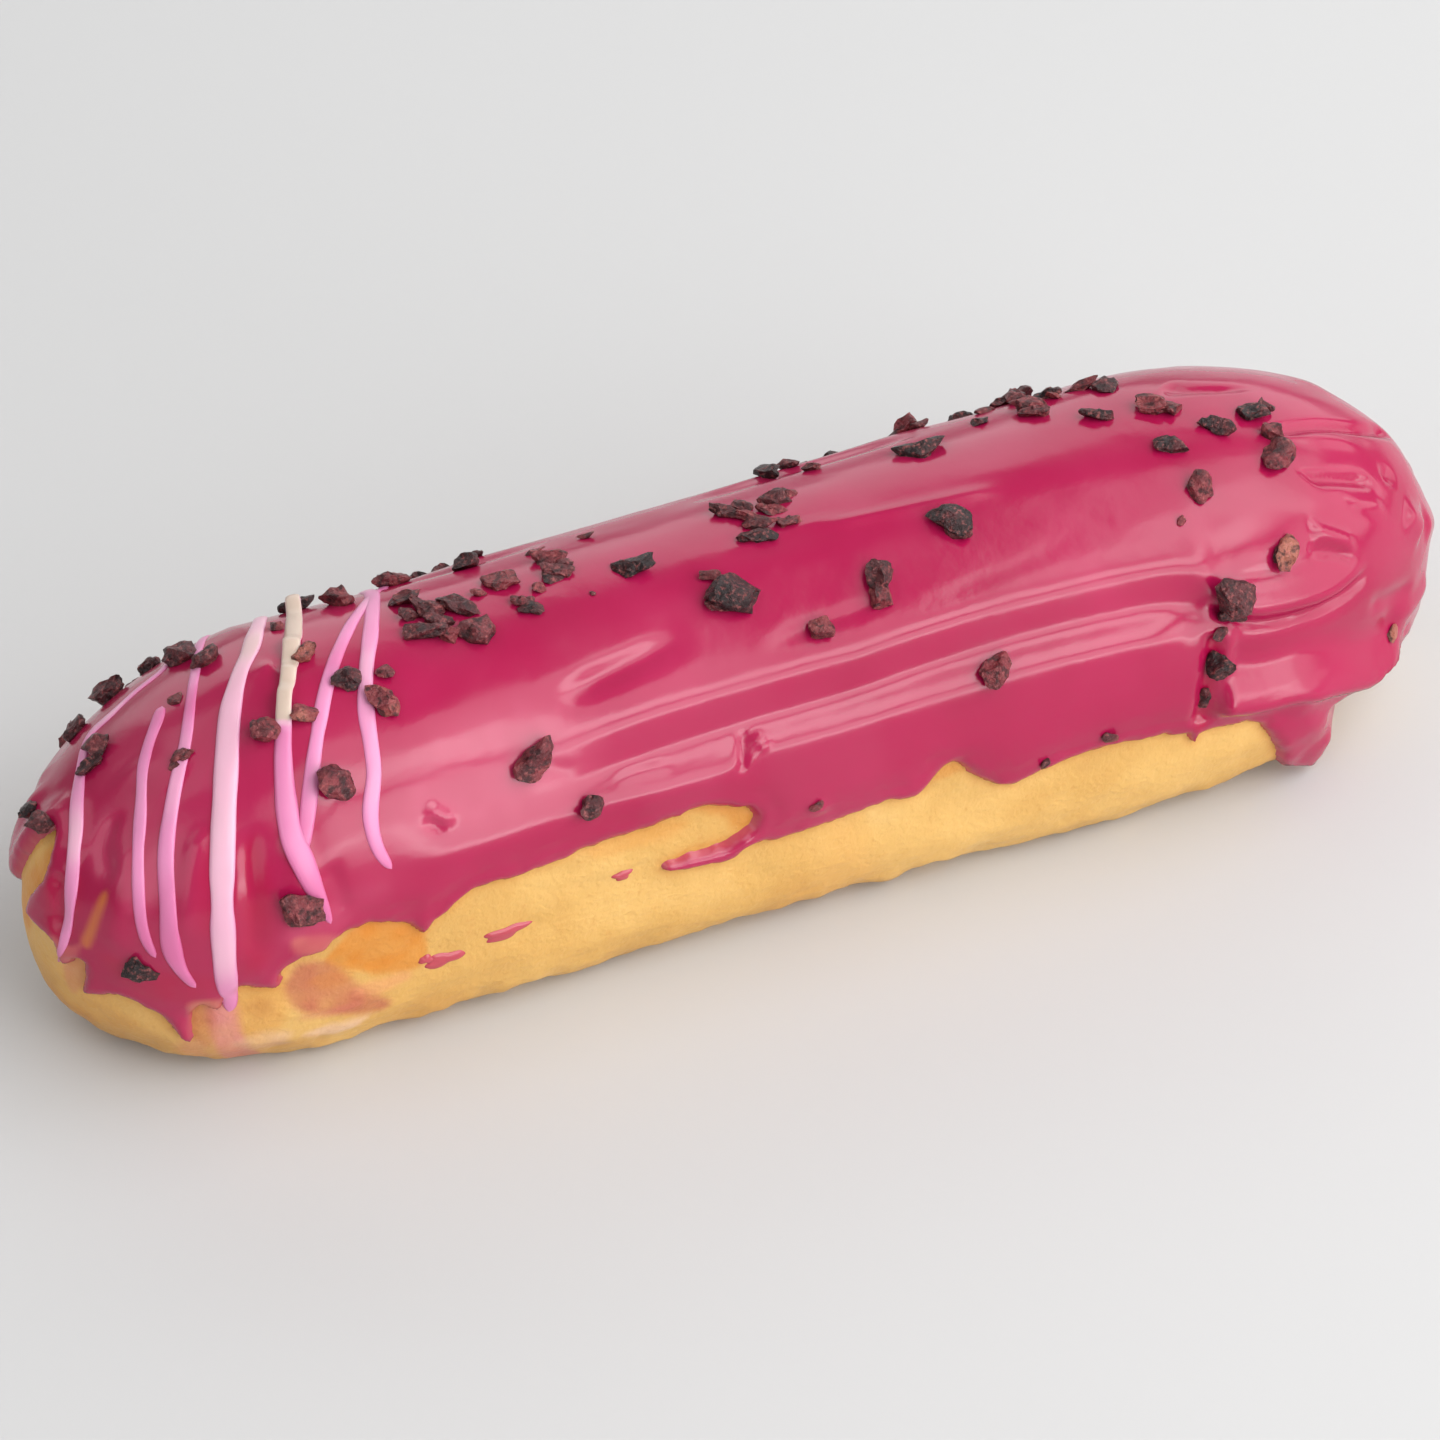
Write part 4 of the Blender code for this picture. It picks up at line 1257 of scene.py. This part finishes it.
# Nibs that the photograph shows: u, v, length px, height px as seen, turn in degrees in the picture, tone 0..1, kind
# kind: s stands proud, f lies flat and half sunk, c is coated by icing at its foot
NIBS = (
    (106, 694, 38, 30, 20, 0.20, "s"), (98, 748, 36, 24, -30, 0.42, "s"), (93, 766, 28, 13, 5, 0.15, "s"),
    (31, 812, 24, 18, 30, 0.02, "s"), (44, 821, 26, 22, 20, 0.30, "s"),
    (183, 658, 32, 30, -10, 0.25, "s"), (207, 661, 24, 28, 60, 0.25, "s"), (176, 700, 16, 8, 0, 0.4, "f"),
    (296, 607, 36, 24, 15, 0.04, "s"), (338, 604, 30, 26, -20, 0.50, "s"), (276, 629, 14, 12, 0, 0.45, "s"),
    (304, 655, 20, 26, 70, 0.75, "s"), (303, 716, 26, 18, 25, 0.70, "s"), (266, 735, 26, 26, 60, 0.55, "s"),
    (345, 682, 24, 26, 60, 0.20, "s"), (385, 673, 18, 16, 0, 0.50, "s"), (384, 702, 26, 34, -60, 0.62, "s"),
    (331, 783, 46, 28, -12, 0.45, "s"), (305, 911, 52, 34, -28, 0.42, "c"), (139, 968, 46, 26, -20, 0.03, "c"),
    (180, 757, 22, 10, 0, 0.45, "f"), (174, 766, 12, 8, 10, 0.35, "f"),
    (394, 584, 34, 22, 10, 0.50, "s"), (407, 603, 30, 20, 10, 0.45, "s"), (424, 612, 36, 20, -15, 0.35, "s"),
    (440, 624, 30, 16, 0, 0.35, "s"), (424, 637, 42, 18, -8, 0.35, "s"), (455, 607, 34, 18, 12, 0.30, "f"),
    (453, 608, 24, 16, -20, 0.28, "s"), (481, 634, 38, 28, 15, 0.35, "s"), (451, 637, 22, 16, 0, 0.45, "s"),
    (410, 618, 22, 14, 20, 0.30, "s"), (470, 612, 20, 14, 10, 0.38, "s"),
    (503, 582, 36, 16, -8, 0.50, "f"), (478, 596, 16, 10, 0, 0.55, "s"), (524, 602, 24, 12, 10, 0.42, "s"),
    (532, 610, 26, 12, 5, 0.12, "f"), (537, 590, 14, 12, 20, 0.62, "s"), (546, 562, 36, 18, 18, 0.48, "s"),
    (556, 574, 34, 16, 10, 0.40, "s"), (551, 580, 20, 10, 0, 0.15, "f"), (536, 553, 20, 10, 15, 0.55, "s"),
    (566, 566, 20, 12, 0, 0.5, "s"), (586, 538, 16, 8, 10, 0.55, "s"),
    (629, 568, 50, 22, -8, 0.02, "f"), (592, 594, 7, 6, 0, 0.30, "s"),
    (727, 514, 30, 10, -5, 0.22, "f"), (745, 519, 30, 14, 5, 0.50, "s"), (758, 526, 36, 14, -4, 0.40, "s"),
    (776, 501, 34, 12, 15, 0.30, "f"), (785, 495, 22, 10, 10, 0.55, "s"), (770, 511, 30, 12, 0, 0.50, "s"),
    (787, 523, 26, 10, 8, 0.40, "f"), (757, 539, 44, 14, -3, 0.03, "f"), (740, 508, 24, 8, 0, 0.3, "f"),
    (730, 596, 56, 44, -8, 0.06, "s"), (725, 606, 36, 18, 0, 0.30, "s"), (712, 578, 24, 12, 10, 0.45, "s"),
    (820, 631, 24, 26, -50, 0.55, "s"), (876, 577, 26, 28, 70, 0.35, "s"), (880, 599, 28, 26, -40, 0.58, "s"),
    (531, 757, 44, 30, 65, 0.42, "s"), (523, 768, 22, 24, 50, 0.10, "s"), (588, 808, 24, 20, 30, 0.30, "s"),
    (950, 526, 50, 32, -12, 0.05, "s"), (957, 534, 24, 16, 0, 0.35, "s"),
    (921, 452, 58, 20, 5, 0.04, "f"), (918, 427, 20, 12, 15, 0.35, "s"), (815, 469, 22, 6, 5, 0.30, "f"),
    (977, 423, 22, 8, 5, 0.08, "f"), (1004, 402, 26, 14, 12, 0.55, "s"), (985, 409, 20, 8, 8, 0.40, "f"),
    (1030, 409, 40, 8, 2, 0.50, "f"), (1048, 397, 34, 16, 8, 0.04, "s"), (1056, 398, 18, 10, 0, 0.60, "s"),
    (1080, 389, 36, 12, 5, 0.45, "s"), (1108, 388, 26, 10, 0, 0.12, "f"), (1098, 417, 36, 12, 5, 0.10, "f"),
    (1036, 415, 30, 8, 4, 0.40, "f"), (1026, 403, 20, 9, 4, 0.25, "s"),
    (1152, 409, 32, 20, -10, 0.55, "s"), (1170, 412, 28, 18, 20, 0.50, "s"), (1168, 448, 36, 16, -5, 0.14, "f"),
    (1199, 487, 26, 32, 65, 0.52, "s"), (1181, 521, 10, 8, 60, 0.5, "s"),
    (1216, 429, 36, 14, -8, 0.12, "f"), (1248, 416, 40, 24, -12, 0.10, "s"), (1262, 410, 20, 22, 50, 0.35, "s"),
    (1271, 434, 24, 24, 30, 0.40, "s"), (1275, 460, 32, 32, 0, 0.50, "s"),
    (1284, 553, 22, 38, 72, 0.85, "s"), (1276, 555, 12, 18, 60, 0.15, "s"),
    (1230, 598, 40, 36, -30, 0.22, "s"), (1232, 610, 24, 22, 0, 0.12, "s"), (1221, 634, 18, 14, 0, 0.35, "c"),
    (1222, 662, 32, 34, 40, 0.04, "s"), (1205, 694, 14, 24, 80, 0.25, "c"),
    (993, 671, 24, 36, 72, 0.48, "s"), (1109, 735, 16, 14, 20, 0.42, "s"), (1044, 763, 8, 12, 80, 0.25, "s"),
    (817, 806, 14, 10, 20, 0.45, "c"), (1391, 633, 10, 16, 75, 1.0, "s"),
)


def make_nibs(material, tree, px_mm):
    rng = np.random.default_rng(2207)
    fine, fine_faces = ball(3)
    coarse, coarse_faces = ball(2)
    verts, faces, tone = [], [], []

    def add(centre, normal, along, long, wide, high, shade, sink, big):
        base, base_faces = (fine, fine_faces) if big else (coarse, coarse_faces)
        shape = nib_shape(base, rng, long, wide, high)
        n = normal / np.linalg.norm(normal)
        x = along - n * (along @ n)
        if np.linalg.norm(x) < 1e-6:
            x = np.cross(n, [0.3, 0.8, 0.1])
        x /= np.linalg.norm(x)
        y = np.cross(n, x)
        tilt = rng.normal(0, 0.18)
        x, n2 = x * math.cos(tilt) + n * math.sin(tilt), n * math.cos(tilt) - x * math.sin(tilt)
        world = centre + n * (high * (1 - sink) - 0.00005) + shape[:, :1] * x + shape[:, 1:2] * y + shape[:, 2:] * n2
        start = len(verts)
        verts.extend(world)
        faces.extend(tuple(start + i for i in f) for f in base_faces)
        patch = fractal(shape * 1000 / 1.3 + rng.uniform(0, 30), 2, 91)
        tone.extend(np.clip(shade + 0.16 * patch, 0, 1))

    for u, v, size_px, high_px, turn, shade, kind in NIBS:
        centre, normal = place(tree, u, v)
        if high_px > size_px:
            size_px, high_px = high_px, size_px
        turn = math.radians(turn)
        along = RIGHT * math.cos(turn) + UP * math.sin(turn)
        facing = max(abs(float(normal @ BACK)), 0.35)
        grow = 1.20 if shade > 0.1 else 1.05
        long = size_px * px_mm / 2 * grow
        seen = high_px * px_mm / 2 * grow
        if kind == "f":
            high = min(0.40 * long, 0.0008)
            wide = min(max(seen / facing * 0.9, 0.35 * long), long * 1.1)
            sink = 0.45
        elif kind == "c":
            high = 0.42 * seen
            wide = seen
            sink = 0.35
        else:
            high = 0.66 * seen
            wide = max(seen * 1.0, 0.4 * long)
            sink = 0.28
        add(centre, normal, along, long, wide, high, shade, sink, size_px >= 22)

    # nibs on the side that the photograph doesn't show, in the same loose clusters
    placed = 0
    while placed < 46:
        s = rng.choice([rng.uniform(1.55, 2.95), rng.uniform(2.0, 3.35)])
        up = rng.uniform(0.50, 0.93)
        base = envelope(np.array([s]), np.array([up]))[0]
        n = normals(np.array([s]), np.array([up]))[0]
        if n @ BACK > 0.02:
            continue
        hit, normal, _, _ = tree.find_nearest(Vector(base))
        normal = np.array(normal)
        if normal @ n < 0:
            normal = -normal
        group = int(rng.choice([1, 1, 2, 3]))
        for _ in range(group):
            spot = np.array(hit) + np.cross(normal, rng.normal(size=3)) * 0.0028 * (group > 1)
            near, normal2, _, _ = tree.find_nearest(Vector(spot))
            normal2 = np.array(normal2)
            if normal2 @ normal < 0:
                normal2 = -normal2
            long = rng.uniform(0.0011, 0.0024)
            wide = long * rng.uniform(0.55, 0.9)
            high = wide * rng.uniform(0.45, 0.8)
            add(np.array(near), normal2, rng.normal(size=3), long, wide, high, rng.uniform(0.05, 0.6), rng.uniform(0.2, 0.4), long > 0.0015)
            placed += 1
    obj = new_object("cocoa_nibs", verts, faces, material)
    obj.data.set_sharp_from_angle(angle=math.radians(38))
    add_attribute(obj, "tone", tone)
    return obj


def make_specks(material):
    verts, faces = [], []
    for number, (s, z, long, high, tilt) in enumerate(SPECKS):
        a0, w0 = float(round_of(s)), float(up_of(s, z))
        n_ring, n_in = 36, 5
        start = len(verts)
        pts = []
        for k in range(n_in + 1):
            r = k / n_in
            for j in range(n_ring):
                t = 2 * math.pi * j / n_ring
                wob = 1 + 0.16 * math.sin(3 * t + number) + 0.10 * math.sin(5 * t + 2.3 * number)
                a = long * r * math.cos(t) * wob
                w = high * r * math.sin(t) * wob
                pts.append((a0 + a * math.cos(tilt) - w * math.sin(tilt), w0 + a * math.sin(tilt) + w * math.cos(tilt), r))
        pts = np.array(pts)
        ss = s_of(pts[:, 0])
        vv = pts[:, 1] / (SECTION_WAY * 1000)
        base, n = crust_surface(ss[:, None], vv[:, None])
        base, n = base[:, 0], n[:, 0]
        lift = 0.42 * np.sqrt(np.clip(1 - pts[:, 2] ** 2, 0, 1)) - 0.10
        top = base + n * (lift * MM)[:, None]
        low = base - n * 0.0004
        verts.extend(top)
        verts.extend(low[-n_ring:])
        for k in range(n_in):
            for j in range(n_ring):
                i = (j + 1) % n_ring
                a = start + k * n_ring
                b = a + n_ring
                faces.append((a + j, b + j, b + i, a + i))
        outer = start + n_in * n_ring
        under = outer + n_ring
        for j in range(n_ring):
            i = (j + 1) % n_ring
            faces.append((outer + j, under + j, under + i, outer + i))
        faces.append(tuple(under + j for j in range(n_ring)))
    obj = new_object("icing_specks", verts, faces, material)
    mesh = bmesh.new()
    mesh.from_mesh(obj.data)
    bmesh.ops.remove_doubles(mesh, verts=mesh.verts, dist=1e-6)
    bmesh.ops.recalc_face_normals(mesh, faces=mesh.faces)
    mesh.to_mesh(obj.data)
    mesh.free()
    tint = np.tile(np.array([*ROSE, 0.35]), (len(obj.data.vertices), 1))
    add_colour(obj, "tint", tint)
    return obj


# ------------------------------------------------------------------ build
make_camera()
make_stage()
icing_look = icing_material()
crust = make_crust(crust_material())
coat = make_icing(icing_look)
specks = make_specks(icing_look)
tree_all = surface_tree([coat, crust])
PX_MM = CAMERA_WAY / FOCAL_PX  # metres of one picture element at the eclair
drizzle = make_drizzle(drizzle_material(), tree_all, PX_MM)
nibs = make_nibs(nib_material(), tree_all, PX_MM)

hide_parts("choux_shell")
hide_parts("raspberry_icing")
for piece, slot in (
    (crust, "baked_choux"),
    (coat, "raspberry_icing"),
    (specks, "raspberry_icing"),
    (drizzle, "pink_drizzle"),
    (nibs, "cocoa_nib"),
):
    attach(piece, "root")
